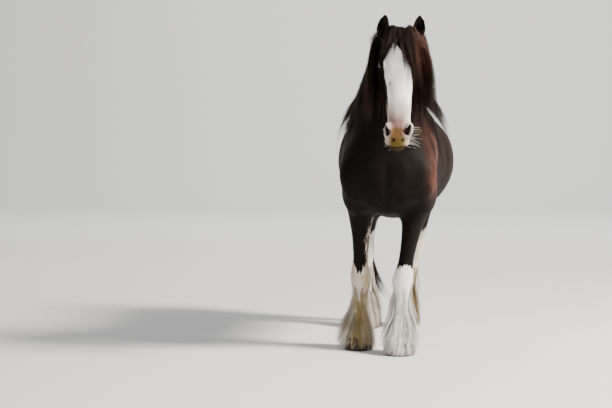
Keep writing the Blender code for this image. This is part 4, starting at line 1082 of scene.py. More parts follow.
def give_markings(obj, points, tufts=None):
    """The markings, the sun-faded coat with its painted sunlight, and the painted shade of the recesses, as
    values on the points. Tufts take them at their roots, with ragged edges.
    """
    at = points if tufts is None else tufts
    give_values(obj, "White", white_field(at))
    z = at[:, 2]
    local = in_head(at)
    give_values(obj, "Bare", bare_field(local))
    give_values(obj, "Lip", lip_stain(local))
    give_values(obj, "Spots", lip_spots(local))
    give_values(obj, "Ragged", np.where(z > 1.2, 0.026, 0.12))
    lips = 0.6 * fade((-0.635 - local[:, 2]) / 0.07) * (local[:, 1] < 0.25) * (local[:, 2] > -0.9)
    give_values(obj, "Stain", np.maximum(leg_stain(at), lips))
    # Faded coat together with painted sunlight and sheen on the lit left side
    give_values(obj, "BleachAndSunlight", bleach_and_painted_sun(at))
    down = np.maximum(fade((1.05 - z) / 0.2), fade((0.3 - local[:, 1]) / 0.15) * (local[:, 2] > -0.9))
    give_values(obj, "Down", down)
    inner = np.zeros(len(at))
    for outward in (1, -1):
        inside = np.array([tuple(p) for p in np.array(at) @ np.array(ear_place(outward).inverted().to_3x3()).T])
        inside += np.array(ear_place(outward).inverted().translation)
        share = np.clip(inside[:, 2] / EAR_LENGTH, 0, 1)
        inside[:, 0] -= ear_bow(outward, share)
        hollow = (inside[:, 2] > 0.02) & (np.hypot(inside[:, 0] / 0.8, inside[:, 1]) < 0.028 - 0.018 * share)
        inner = np.maximum(inner, 0.8 * (hollow & (np.abs(inside[:, 0]) < 0.05)))
        if tufts is None:
            # The holes of the nostrils are darkened, partly their own dark skin and partly painted shade; the
            # fold beside each gets a lighter painted lilac shade.
            reach, _, _, fold = nostril_reach(local, outward)
            inner = np.maximum(inner, np.maximum(fade((1.04 - reach) / 0.26), 0.36 * fold))
    if tufts is None:
        # The crease of the mouth is darkened: painted shade.
        line = line_on(mouth_line(), tree_of(obj))
        close = np.nonzero((local[:, 2] < -0.58) & (local[:, 1] < 0.24))[0]
        gap = np.min(np.linalg.norm(local[close, None, :] - line[None, :, :], axis=2), axis=1)
        inner[close] = np.maximum(inner[close], fade((0.008 - gap) / 0.004))
        # The lower lip under the upper one is darkened: painted shadow.
        lower = fade((-0.752 - local[:, 2] + 4.0 * np.minimum(np.abs(local[:, 0]), 0.1) ** 2) / 0.012)
        inner = np.maximum(inner, 0.94 * lower * fade((0.17 - local[:, 1]) / 0.05) * (local[:, 2] > -0.9))
    give_values(obj, "Inside", inner)


# Materials.


class Nodes:
    """Short ways to add and join shader nodes in one tree."""

    def __init__(self, tree):
        self.tree = tree

    def add(self, kind, inputs=None, **settings):
        node = self.tree.nodes.new(kind)
        for key, value in settings.items():
            setattr(node, key, value)
        for key, value in (inputs or {}).items():
            self.put(value, node.inputs[key])
        return node

    def put(self, value, socket):
        if isinstance(value, bpy.types.NodeSocket):
            self.tree.links.new(value, socket)
        else:
            socket.default_value = value

    def math(self, operation, a, b=0.0, c=0.0):
        return self.add("ShaderNodeMath", {0: a, 1: b, 2: c}, operation=operation).outputs[0]

    def mix(self, factor, a, b):
        node = self.add("ShaderNodeMix", data_type="RGBA")
        self.put(factor, node.inputs[0])
        self.put(a, node.inputs[6])
        self.put(b, node.inputs[7])
        return node.outputs[2]

    def step(self, value, low, high):
        node = self.add("ShaderNodeMapRange", {0: value, 1: low, 2: high}, interpolation_type="SMOOTHSTEP")
        return node.outputs[0]

    def noise(self, where, scale, detail=3.0, rough=0.55):
        inputs = {"Vector": where, "Scale": scale, "Detail": detail, "Roughness": rough}
        node = self.add("ShaderNodeTexNoise", inputs)
        return node.outputs[0]

    def stretched(self, where, scale, turn=(0, 0, 0)):
        node = self.add("ShaderNodeMapping", {"Vector": where, "Scale": scale, "Rotation": turn})
        return node.outputs[0]

    def value(self, name):
        return self.add("ShaderNodeAttribute", attribute_name=name).outputs["Fac"]


def start_group(name, inputs, outputs):
    """A shader node group, its nodes, its input node's outputs and its output node's inputs."""
    group = bpy.data.node_groups.new(name, "ShaderNodeTree")
    for label, kind, default in inputs:
        socket = group.interface.new_socket(label, in_out="INPUT", socket_type=kind)
        if default is not None:
            socket.default_value = default
    for label, kind in outputs:
        group.interface.new_socket(label, in_out="OUTPUT", socket_type=kind)
    nodes = Nodes(group)
    return group, nodes, nodes.add("NodeGroupInput").outputs, nodes.add("NodeGroupOutput").inputs


# Among these, one value carries painted sunlight on the faded coat and one carries painted shade in the recesses.
COAT_VALUES = ("White", "Bare", "Lip", "Down", "Ragged", "Inside", "Spots", "Stain", "BleachAndSunlight")


def coat_group():
    """Short hair: dark coat, white markings and bare skin, with painted sunlight, sheen and shade, and the lie of
    the hair as height.
    """
    floats = COAT_VALUES
    colours = ("Dark", "BleachedAndSunlit", "Clean", "Stained", "Pink", "Ochre")
    inputs = [("Place", "NodeSocketVector", None)]
    inputs += [(name, "NodeSocketFloat", 0.0) for name in floats]
    inputs += [(name, "NodeSocketColor", (0.5, 0.5, 0.5, 1)) for name in colours]
    outputs = [("Colour", "NodeSocketColor"), ("Roughness", "NodeSocketFloat"), ("Height", "NodeSocketFloat")]
    group, n, given, result = start_group("short_coat", inputs, outputs)
    place = given["Place"]
    back_streak = n.noise(n.stretched(place, (430, 52, 430), (0.36, 0, 0)), 1.0, 2.0)
    down_streak = n.noise(n.stretched(place, (400, 400, 40)), 1.0, 2.0)
    down = given["Down"]
    back_streak = n.math("MULTIPLY", back_streak, n.math("SUBTRACT", 1.0, down))
    streak = n.math("ADD", back_streak, n.math("MULTIPLY", down_streak, down))
    ragged = n.math("SUBTRACT", n.noise(n.stretched(place, (80, 80, 15)), 1.0, 4.0, 0.7), 0.5)
    edge = n.math("MULTIPLY_ADD", ragged, given["Ragged"], given["White"])
    white = n.step(edge, -0.0025, 0.0025)
    # Reddish-brown patches on the lit left side: partly coat faded by the sun, partly painted sunlight and sheen.
    # The raised hair lines take a tenth of that brown as a painted sheen.
    patches = n.noise(n.stretched(place, (12, 9, 6)), 1.0, 4.0, 0.6)
    sunny = n.math("MULTIPLY", given["BleachAndSunlight"], n.step(n.math("MULTIPLY_ADD", streak, 0.5, patches), 0.5, 0.95))
    dark = n.mix(sunny, given["Dark"], given["BleachedAndSunlit"])
    dark = n.mix(n.math("MULTIPLY", n.step(streak, 0.5, 0.8), 0.1), dark, given["BleachedAndSunlit"])
    cloud = n.noise(n.stretched(place, (14, 14, 4)), 1.0, 4.0, 0.6)
    soil = n.math("MULTIPLY", n.math("MULTIPLY_ADD", n.step(cloud, 0.3, 0.66), 0.35, 0.65), given["Stain"])
    pale = n.mix(soil, given["Clean"], given["Stained"])
    # Lilac-grey blotches on the white are painted shade.
    patches = n.step(n.noise(place, 11.0, 4.0, 0.6), 0.4, 0.66)
    pale = n.mix(n.math("MULTIPLY", patches, 0.55), pale, (0.52, 0.5, 0.545, 1))
    # Grey in the grooves between the raised hair lines is painted shade.
    pale = n.mix(n.math("MULTIPLY", n.step(streak, 0.52, 0.3), 0.3), pale, (0.52, 0.48, 0.47, 1))
    both = n.mix(white, dark, pale)
    speckle = n.noise(place, 120.0, 2.0)
    bare = n.step(n.math("MULTIPLY_ADD", ragged, 0.01, given["Bare"]), -0.026, 0.016)
    pink = n.mix(n.math("MULTIPLY", n.step(speckle, 0.6, 0.75), 0.25), given["Pink"], (0.15, 0.08, 0.06, 1))
    lip = n.math("MULTIPLY_ADD", ragged, 0.8, given["Lip"])
    around = n.math("MAXIMUM", n.step(lip, 0.1, 1.1), n.step(given["Bare"], -0.078, -0.012))
    both = n.mix(n.math("MULTIPLY", around, 0.78), both, (0.36, 0.25, 0.19, 1))
    pink = n.mix(n.step(lip, 0.1, 0.9), pink, given["Ochre"])
    pink = n.mix(n.step(lip, 1.15, 1.9), pink, (0.096, 0.069, 0.014, 1))
    both = n.mix(bare, both, pink)
    both = n.mix(given["Spots"], both, (0.014, 0.008, 0.004, 1))
    # Dark reddish: the skin in the ears and nostrils, and painted shade in the nostrils, by their folds, in the
    # crease of the mouth and under the upper lip.
    both = n.mix(given["Inside"], both, (0.02, 0.0095, 0.008, 1))
    n.put(both, result["Colour"])
    rough = n.math("MULTIPLY_ADD", streak, 0.2, n.math("MULTIPLY_ADD", white, 0.12, 0.5))
    n.put(rough, result["Roughness"])
    fine = n.math("MULTIPLY", speckle, n.math("MULTIPLY", bare, 0.6))
    hair_lines = n.math("MULTIPLY", streak, n.math("MULTIPLY_ADD", bare, -0.75, 1.0))
    n.put(n.math("ADD", hair_lines, fine), result["Height"])
    return group


def hair_group():
    """Long hair: darker and paler strands, paler towards the tips, with fine lines along them."""
    inputs = [("Place", "NodeSocketVector", None)]
    inputs += [("Shade", "NodeSocketFloat", 0.5), ("Along", "NodeSocketFloat", 0.0)]
    inputs += [(name, "NodeSocketColor", (0.5, 0.5, 0.5, 1)) for name in ("Deep", "Pale", "Tip")]
    outputs = [("Colour", "NodeSocketColor"), ("Height", "NodeSocketFloat")]
    group, n, given, result = start_group("long_hair", inputs, outputs)
    lines = n.noise(n.stretched(given["Place"], (420, 420, 30)), 1.0, 2.0)
    shade = n.math("MULTIPLY_ADD", n.math("SUBTRACT", lines, 0.5), 0.5, given["Shade"])
    mixed = n.mix(n.step(shade, 0.0, 1.0), given["Deep"], given["Pale"])
    mixed = n.mix(n.math("MULTIPLY", n.step(given["Along"], 0.45, 1.0), 0.12), mixed, given["Tip"])
    n.put(mixed, result["Colour"])
    n.put(lines, result["Height"])
    return group


def new_material(name, **constants):
    """A material with a Principled shader whose plain values are set on its own sockets."""
    material = bpy.data.materials.new(name)
    material.use_nodes = True
    nodes = Nodes(material.node_tree)
    shader = material.node_tree.nodes["Principled BSDF"]
    for key, value in constants.items():
        shader.inputs[key.replace("_", " ")].default_value = value
    place = nodes.add("ShaderNodeTexCoord").outputs["Object"]
    return material, nodes, shader, place


def rgba(colour):
    return (*colour, 1)


def coat_material(colours, name="coat", bump=0.0006):
    material, n, shader, place = new_material(name, Specular_IOR_Level=0.055)
    group = bpy.data.node_groups.get("short_coat") or coat_group()
    coat = n.add("ShaderNodeGroup", node_tree=group)
    # The faded brown also serves as painted sunlight and sheen.
    for key, value in (
        ("Place", place), ("Dark", rgba(colours.coat)),
        ("BleachedAndSunlit", rgba(colours.bleached_and_sunlit)), ("Clean", rgba(colours.white)),
        ("Stained", rgba(colours.stained)), ("Pink", rgba(colours.muzzle)), ("Ochre", rgba(colours.lip)),
    ):
        n.put(value, coat.inputs[key])
    for key in COAT_VALUES:
        n.put(n.value(key), coat.inputs[key])
    n.put(coat.outputs["Colour"], shader.inputs["Base Color"])
    n.put(coat.outputs["Roughness"], shader.inputs["Roughness"])
    height = n.add("ShaderNodeBump", {"Height": coat.outputs["Height"], "Distance": bump, "Strength": 0.8})
    n.put(height.outputs[0], shader.inputs["Normal"])
    return material


def hair_material(name, deep, pale, tip, rough=0.42, sheen=0.0):
    finish = {"Roughness": rough, "Sheen_Weight": sheen, "Specular_IOR_Level": 0.11}
    material, n, shader, place = new_material(name, **finish)
    group = bpy.data.node_groups.get("long_hair") or hair_group()
    hair = n.add("ShaderNodeGroup", node_tree=group)
    for key, value in (
        ("Place", place), ("Shade", n.value("Shade")), ("Along", n.value("Along")),
        ("Deep", rgba(deep)), ("Pale", rgba(pale)), ("Tip", rgba(tip)),
    ):
        n.put(value, hair.inputs[key])
    n.put(hair.outputs["Colour"], shader.inputs["Base Color"])
    height = n.add("ShaderNodeBump", {"Height": hair.outputs["Height"], "Distance": 0.0006, "Strength": 0.6})
    n.put(height.outputs[0], shader.inputs["Normal"])
    return material


def eye_material(colours):
    """A dark iris with a lying oval pupil, under a clear wet coat."""
    material, n, shader, _ = new_material("eyeball", Roughness=0.12, Coat_Weight=1.0, Coat_Roughness=0.02)
    long_way, high_way = n.value("GazeLong"), n.value("GazeHigh")
    far = n.math("SQRT", n.math("ADD", n.math("POWER", long_way, 2.0), n.math("POWER", high_way, 2.0)))
    tall = n.math("MULTIPLY", high_way, 1.9)
    squares = [n.math("POWER", way, 2.0) for way in (long_way, tall)]
    pupil = n.math("SQRT", n.math("ADD", *squares))
    turn = n.add("ShaderNodeCombineXYZ", {0: n.math("ARCTAN2", high_way, long_way), 1: 0.0, 2: 0.0})
    rays = n.noise(turn.outputs[0], 9.0, 3.0)
    iris = n.mix(n.step(rays, 0.35, 0.7), (0.018, 0.008, 0.004, 1), rgba(colours.iris))
    inside = n.mix(n.step(pupil, 0.009, 0.011), (0.001, 0.001, 0.0015, 1), iris)
    outside = n.mix(n.step(far, 0.018, 0.0215), (0.01, 0.006, 0.005, 1), (0.26, 0.2, 0.17, 1))
    n.put(n.mix(n.step(far, 0.0165, 0.018), inside, outside), shader.inputs["Base Color"])
    return material


def horn_material(colours):
    """Hoof horn: fine lines down the wall, growth rings round it and patches of mud."""
    material, n, shader, place = new_material("hoof_horn", Specular_IOR_Level=0.22)
    ring = n.noise(n.stretched(place, (6, 6, 190)), 1.0, 3.0)
    fibre = n.noise(n.stretched(place, (260, 260, 12)), 1.0, 2.0)
    mud = n.step(n.noise(place, 18.0, 5.0, 0.65), 0.45, 0.68)
    wall = n.mix(n.step(fibre, 0.35, 0.7), rgba(colours.horn), (0.048, 0.031, 0.021, 1))
    wall = n.mix(n.math("MULTIPLY", n.step(ring, 0.5, 0.7), 0.45), wall, (0.012, 0.008, 0.006, 1))
    wall = n.mix(n.math("MULTIPLY", mud, 0.6), wall, (0.036, 0.022, 0.011, 1))
    n.put(wall, shader.inputs["Base Color"])
    n.put(n.math("MULTIPLY_ADD", mud, 0.25, 0.45), shader.inputs["Roughness"])
    height = n.math("MULTIPLY_ADD", fibre, 0.5, n.math("MULTIPLY_ADD", ring, 0.8, n.math("MULTIPLY", mud, 0.6)))
    bump = n.add("ShaderNodeBump", {"Height": height, "Distance": 0.0014, "Strength": 0.7})
    n.put(bump.outputs[0], shader.inputs["Normal"])
    return material


# Hair.


def strands(name, paths, flats, width, thick, shade, uv):
    """Tapered three-sided strands along paths of equal length, as one mesh.

    Flats are the directions of the strands' widths, shade is one value for a strand or one for each of its
    points, and uv holds the places of the roots on an unwrap of the skin.
    """
    count, steps, _ = paths.shape
    along = np.gradient(paths, axis=1)
    along /= np.maximum(np.linalg.norm(along, axis=2), 1e-9)[:, :, None]
    flats = flats - along * np.sum(flats * along, axis=2)[:, :, None]
    flats /= np.maximum(np.linalg.norm(flats, axis=2), 1e-9)[:, :, None]
    out = np.cross(along, flats)
    t = np.linspace(0, 1, steps)
    taper = (0.55 + 0.45 * np.minimum(1, 4 * t)) * (1 - 0.85 * t**2.2)
    half = (np.asarray(width)[:, None] * taper / 2)[:, :, None]
    deep = (np.asarray(thick)[:, None] * taper / 2)[:, :, None]
    corners = (paths - flats * half - out * deep, paths + flats * half - out * deep, paths + out * deep)
    rings = np.stack(corners, 2)[:, :-1]
    size = 3 * (steps - 1) + 1
    verts = np.concatenate([rings.reshape(count, -1, 3), paths[:, -1:, :]], 1)
    quads = []
    for k in range(steps - 2):
        for j in range(3):
            i = (j + 1) % 3
            quads.append((3 * k + j, 3 * k + i, 3 * k + 3 + i, 3 * k + 3 + j))
    last = 3 * (steps - 2)
    triangles = [(last + j, last + (j + 1) % 3, size - 1) for j in range(3)] + [(2, 1, 0)]
    first = (np.arange(count) * size)[:, None, None]
    quads = (np.array(quads)[None] + first).reshape(-1, 4)
    triangles = (np.array(triangles)[None] + first).reshape(-1, 3)
    obj = mesh_from(name, verts.reshape(-1, 3), quads, triangles)
    where = np.concatenate([np.repeat(t[:-1], 3), [1.0]])
    if shade.ndim == 1:
        shade = np.repeat(shade[:, None], steps, axis=1)
    shades = np.concatenate([np.repeat(shade[:, :-1], 3, axis=1), shade[:, -1:]], axis=1)
    give_values(obj, "Shade", np.clip(shades, 0, 1).ravel())
    give_values(obj, "Along", np.tile(where, count))
    across = np.concatenate([np.tile((0.0, 1.0, 0.5), steps - 1), [0.5]])
    patch = np.repeat(uv, size, axis=0) + 0.003 * np.stack([np.tile(across, count), np.tile(where, count)], 1)
    bake_map(obj, patch)
    return obj


def mesh_from(name, verts, quads, triangles):
    mesh = bpy.data.meshes.new(name)
    mesh.vertices.add(len(verts))
    mesh.vertices.foreach_set("co", verts.astype(np.float32).ravel())
    corners = np.concatenate([quads.ravel(), triangles.ravel()]).astype(np.int32)
    totals = np.concatenate([np.full(len(quads), 4), np.full(len(triangles), 3)])
    starts = np.concatenate([[0], np.cumsum(totals)[:-1]]).astype(np.int32)
    mesh.loops.add(len(corners))
    mesh.loops.foreach_set("vertex_index", corners)
    mesh.polygons.add(len(totals))
    mesh.polygons.foreach_set("loop_start", starts)
    mesh.update(calc_edges=True)
    obj = bpy.data.objects.new(name, mesh)
    bpy.context.scene.collection.objects.link(obj)
    return obj


def bake_map(obj, uv):
    layer = obj.data.uv_layers.new(name="OFBake")
    corners = np.empty(len(obj.data.loops), np.int32)
    obj.data.loops.foreach_get("vertex_index", corners)
    layer.data.foreach_set("uv", np.clip(uv[corners], 0, 1).astype(np.float32).ravel())


def crest_points(u):
    """Points on the crest from the poll (0) to the withers (1)."""
    rows = spaced(neck_rows()[1:], 0.01)[::-1]
    at = np.clip(u, 0, 1) * (len(rows) - 1)
    x, y, z, lean, height = (np.interp(at, np.arange(len(rows)), rows[:, c]) for c in (0, 1, 2, 3, 5))
    return np.stack([x, y + height * np.sin(lean), z + height * np.cos(lean)], 1)


def in_sun(paths):
    """How reddish the long hair is at each point: its crown and its left side most. It is partly hair faded by
    the sun and partly painted sunlight on the lit top and left side.
    """
    x, z = paths[:, :, 0], paths[:, :, 2]
    side = fade((x - 0.165) / 0.07) * (0.05 + 0.47 * fade((z - 1.88) / 0.12)) * fade((z - 1.5) / 0.25)
    return 0.27 * fade((z - 2.165) / 0.05) + side


def smooth_guide(points, rounds):
    for _ in range(rounds):
        points[1:-1] = (points[:-2] + 2 * points[1:-1] + points[2:]) / 4
    return points


def hang(tree, root, start, length, clearance, lift, sway, phase, pull, steps=20, floor=0.006):
    """A guide that leaves its root in a direction, falls and lies on the body. Returns points and normals."""
    step = length / steps
    side = Vector((0, 0, 1)).cross(start).normalized()
    point, direction = Vector(root), Vector(start).normalized()
    near, normal, _, _ = tree.find_nearest(point)
    points, normals = [point.copy()], [normal]
    pull = 1 - (1 - pull) ** (5 / steps)
    for k in range(1, steps + 1):
        t = k / steps
        if t > 0.14:
            direction = (direction * (1 - pull) + Vector((0, 0, -1)) * pull).normalized()
        aside = side * math.cos(phase + 5.0 * t) * sway
        point = point + (direction + aside) * step
        near, normal, _, _ = tree.find_nearest(point)
        keep = clearance + lift * t
        height = (point - near).dot(normal)
        if height < keep and t > 0.08:
            point = near + normal * (height + (keep - height) * min(1, t * 5))
        direction = (point - points[-1]).normalized()
        point.z = max(point.z, floor)
        points.append(point.copy())
        normals.append(normal.copy())
    return smooth_guide(np.array(points), 2), smooth_guide(np.array(normals), 2)


def clumps(
    draw, guides, normals, per_guide, steps, spread, depth,
    gather=0.72, wave=0.006, short=0.72, floor=0.002, stray=0.05,
):
    """Strands round each guide, drawn together towards its tip. Returns paths, flats and each one's guide."""
    guides, normals = np.array(guides), np.array(normals)
    number, points, _ = guides.shape
    owner = np.repeat(np.arange(number), per_guide)
    count = len(owner)
    reach = draw.uniform(short, 1.04, count)
    share = np.linspace(0, 1, steps)[None, :] ** 1.3
    t = share * reach[:, None] * (points - 1)
    i = np.clip(t.astype(int), 0, points - 2)
    f = (t - i)[:, :, None]
    pick = owner[:, None]
    centre = guides[pick, i] * (1 - f) + guides[pick, i + 1] * f
    normal = normals[pick, i] * (1 - f) + normals[pick, i + 1] * f
    normal /= np.maximum(np.linalg.norm(normal, axis=2), 1e-9)[:, :, None]
    along = np.gradient(centre, axis=1)
    along /= np.maximum(np.linalg.norm(along, axis=2), 1e-9)[:, :, None]
    flat = np.cross(along, normal)
    flat /= np.maximum(np.linalg.norm(flat, axis=2), 1e-9)[:, :, None]
    lift = np.cross(flat, along)
    angle = draw.uniform(0, 2 * np.pi, count)
    radius = np.sqrt(draw.uniform(0, 1, count)) * np.where(draw.uniform(0, 1, count) < stray, 2.1, 1.0)
    draw_in = (1 - gather * share**1.3) * (0.75 + 0.45 * np.sin(np.minimum(share * 2.5, 1) * np.pi / 2))
    a = (radius * np.cos(angle))[:, None] * spread * draw_in
    b = (radius * np.sin(angle))[:, None] * depth * draw_in
    beat = draw.uniform(0, 2 * np.pi, number)[owner] + draw.normal(0, 0.5, count)
    a += wave * share * np.sin(share * draw.uniform(6, 11, number)[owner][:, None] + beat[:, None])
    a += 0.35 * wave * share * np.sin(share * draw.uniform(10, 22, count)[:, None] + angle[:, None])
    b += 0.6 * wave * share * np.sin(share * draw.uniform(7, 13, count)[:, None] + beat[:, None])
    paths = centre + flat * a[:, :, None] + lift * b[:, :, None]
    paths[:, :, 2] = np.maximum(paths[:, :, 2], floor)
    return paths, flat, owner


def skin_tree():
    """The skin's surface, where it stood before the shift."""
    skin = bpy.data.objects["skin"]
    points = points_of(skin) - np.array((0, FORWARD_SHIFT, 0))
    skin.data.calc_loop_triangles()
    corners = np.empty(len(skin.data.loop_triangles) * 3, np.int32)
    skin.data.loop_triangles.foreach_get("vertices", corners)
    return BVHTree.FromPolygons(points.tolist(), corners.reshape(-1, 3).tolist())


def make_mane(outward, tree, sizes):
    """One side of the mane, in three layers that fall over the neck and the shoulder."""
    draw = np.random.default_rng(41 + outward)
    guides, normals, places = [], [], []
    loose = 0.02 if outward > 0 else 0.0
    for layer, (count, clearance, share) in enumerate(((22, 0.012, 1.0), (22, 0.026, 0.97), (20, 0.04, 0.88))):
        for i in range(count):
            u = MANE_FROM + (MANE_TO - MANE_FROM) * np.clip((i + draw.uniform(-0.4, 0.4)) / (count - 1), 0, 1)
            root = crest_points(np.array([u]))[0] + (outward * (0.004 + 0.004 * layer), 0, -0.014)
            length = (sizes.mane_length - 0.12 * u + draw.uniform(-0.09, 0.05)) * share
            back = 0.3 * (u - 0.35) + draw.uniform(-0.1, 0.1)
            start = (outward * (0.75 + 8 * loose), back, 0.2 + 0.06 * layer - 0.22 * (1 - u) ** 2)
            keep = clearance + loose * (0.4 + 0.4 * layer) if layer else 0.009
            rise = 0.03 + loose if layer else 0.008
            points, facing = hang(tree, root, start, length, keep, rise, 0.1, draw.uniform(0, 6), 0.8)
            guides.append(points)
            normals.append(facing)
            places.append((0.04 + 0.92 * u, 0.5 + outward * (0.12 + 0.1 * layer)))
    for k in range(34 if outward > 0 else 6):
        # Hair that swings out from behind the ear before it falls beside the cheek
        u = draw.uniform(0.03, 0.3)
        root = crest_points(np.array([u]))[0] + (outward * 0.01, 0, -0.012)
        out = 0.22 + 0.78 * (k + draw.uniform(0, 1)) / 34 if outward > 0 else draw.uniform(0.15, 0.4)
        bulge = 0.02 * (outward > 0) - 0.07 * (1 - out)
        middle = root + (outward * 0.26 * out, draw.uniform(-0.07, 0.02), bulge)
        aside = outward * 0.225 * out + outward * 0.02
        tip = root + (aside, draw.uniform(-0.1, 0.05), -draw.uniform(0.46, 0.66))
        points, facing = drape(tree, root, middle, tip, 0.016, 20)
        guides.append(points)
        normals.append(facing)
        places.append((0.04 + 0.92 * u, 0.5 + outward * 0.42))
    paths, flats, owner = clumps(draw, guides, normals, 43 if outward > 0 else 58, 9, 0.034, 0.014, 0.66, 0.013)
    count = len(paths)
    uv = np.array(places)[owner] + draw.uniform(-0.03, 0.03, (count, 2))
    shade = 0.04 + draw.normal(0, 0.11, count) + draw.normal(0, 0.11, len(guides))[owner]
    # Painted sunlight, together with the sun's fading, reddens the lit crown and the left side.
    shade = shade[:, None] + in_sun(paths)
    width = sizes.strand_width * draw.uniform(0.6, 1.15, count)
    name = "mane_left" if outward > 0 else "mane_right"
    return strands(name, paths, flats, width, width * 0.28, shade, uv)


def drape(tree, root, middle, tip, clearance, steps=14):
    """A guide along a bow through three places, kept clear of the skin. Returns its points and normals."""
    t = np.linspace(0, 1, steps + 1)[:, None]
    points = root * (1 - t) ** 2 + 2 * middle * t * (1 - t) + tip * t**2
    normals = np.empty_like(points)
    for k in range(steps + 1):
        near, normal, _, _ = tree.find_nearest(Vector(points[k]))
        height = (points[k] - np.array(near)) @ np.array(normal)
        keep = clearance * min(1, 0.35 + 3 * k / steps)
        if height < keep:
            points[k] = np.array(near) + np.array(normal) * keep
        normals[k] = normal
    return smooth_guide(points, 2), normals


def make_forelock(tree, sizes):
    """From between the ears over the forehead, most of it swept over the horse's left eye and cheek."""
    draw = np.random.default_rng(17)
    guides, normals, places = [], [], []
    for i in range(74):
        # Where the hair starts across the poll, how far to the side its tip hangs, and how far down
        across = draw.uniform(-0.034, 0.046)
        if i % 4:
            side = draw.uniform(0.045, 0.2)
            down = draw.uniform(0.17, 0.4) * (0.75 + 1.6 * side)
        else:
            side = -draw.uniform(0.03, 0.125)
            down = draw.uniform(0.1, 0.23)
        down *= sizes.forelock_length / 0.42
        back = draw.uniform(0.03, 0.105)
        root = np.array((across, back, -0.006 - 0.1 * abs(back - 0.07)))
        high = draw.uniform(0.085, 0.175)
        middle = np.array((across + 0.45 * side, -0.04, high + 0.3 * (back - 0.06) - 0.1 * down))
        tip = np.array((side, 0.005 + 0.9 * max(0.0, abs(side) - 0.09) - 0.02, -down))
        keep = 0.006 + 0.03 * draw.uniform(0, 1) ** 1.5
        points, facing = drape(tree, in_world(root), in_world(middle), in_world(tip), keep)
        guides.append(points)
        normals.append(facing)
        places.append((0.5 + 2.5 * across, draw.uniform(0.2, 0.8)))
    paths, flats, owner = clumps(draw, guides, normals, 40, 9, 0.016, 0.009, 0.55, 0.01)
    count = len(paths)
    uv = np.array(places)[owner] + draw.uniform(-0.02, 0.02, (count, 2))
    shade = draw.normal(-0.13, 0.12, count) + draw.normal(0, 0.1, len(guides))[owner]
    # Painted sunlight, together with the sun's fading, reddens the lit crown and the left side.
    shade = shade[:, None] + in_sun(paths)
    width = sizes.strand_width * draw.uniform(0.55, 1.0, count)
    return strands("forelock", paths, flats, width, width * 0.28, shade, uv)


def make_tail(sizes):
    """Long hair from all round the dock, in coats of falling length."""
    draw = np.random.default_rng(23)
    guides, normals, places = [], [], []
    layers = [(14, 1.575, 0.62, 0.062), (18, 1.5, 0.4, 0.076)]
    layers += [(20, 1.36, 0.25, 0.064), (18, 1.18, 0.17, 0.048)]
    for count, top, low, far in layers:
        for i in range(count):
            angle = 2 * math.pi * (i + draw.uniform(-0.4, 0.4)) / count
            tip = low + draw.uniform(0, 0.14)
            start = min(top + draw.uniform(-0.06, 0.06), 1.58)
            out = np.array((math.sin(angle), math.cos(angle), 0))
            share = np.linspace(0, 1, 15)
            z = start + (tip - start) * share
            x, y = tail_line(z)
            x = x + 0.024 * fade((0.62 - z) / 0.25)
            y = y - 0.04 * (1 - share) ** 6 * (start > 1.46)
            opened = np.sin(np.minimum(1, 2.2 * share) * math.pi / 2)
            radius = 0.03 + (far - 0.03) * opened - 0.45 * far * share**3
            sway = 0.012 * np.sin(6 * share + draw.uniform(0, 6)) * share
            guides.append(np.stack([x + out[0] * radius + sway, y + out[1] * radius * 0.8, z], 1))
            normals.append(np.tile(out, (15, 1)))
            places.append(((angle / (2 * math.pi)) % 1, 0.05 + 0.9 * (1.6 - start)))
    paths, flats, owner = clumps(draw, guides, normals, 56, 9, 0.026, 0.016, 0.58, 0.016)
    count = len(paths)
    uv = np.array(places)[owner] + draw.uniform(-0.02, 0.02, (count, 2))
    shade = 0.05 + draw.normal(0, 0.13, count) + draw.normal(0, 0.1, len(guides))[owner]
    width = sizes.strand_width * draw.uniform(0.7, 1.2, count)
    return strands("tail_hair", paths, flats, width, width * 0.28, np.clip(shade, 0, 1), uv)


# Height, half width, reach to the front and to the back of the space that the long hair of a lower leg fills.
FEATHER_SPACE = np.array(
    (
        (0.54, 0.054, 0.046, 0.072),
        (0.43, 0.09, 0.056, 0.106),
        (0.33, 0.108, 0.066, 0.126),
        (0.235, 0.124, 0.086, 0.14),
        (0.15, 0.137, 0.108, 0.146),
        (0.085, 0.134, 0.122, 0.142),
        (0.0, 0.124, 0.128, 0.138),
    )
)
# On the right foreleg the hair of the outer side starts lower and swings further out.
OUTER_RIGHT = np.array((
    (0.54, 0.054), (0.345, 0.062), (0.27, 0.104), (0.2, 0.142),
    (0.12, 0.166), (0.06, 0.168), (0.0, 0.156),
))


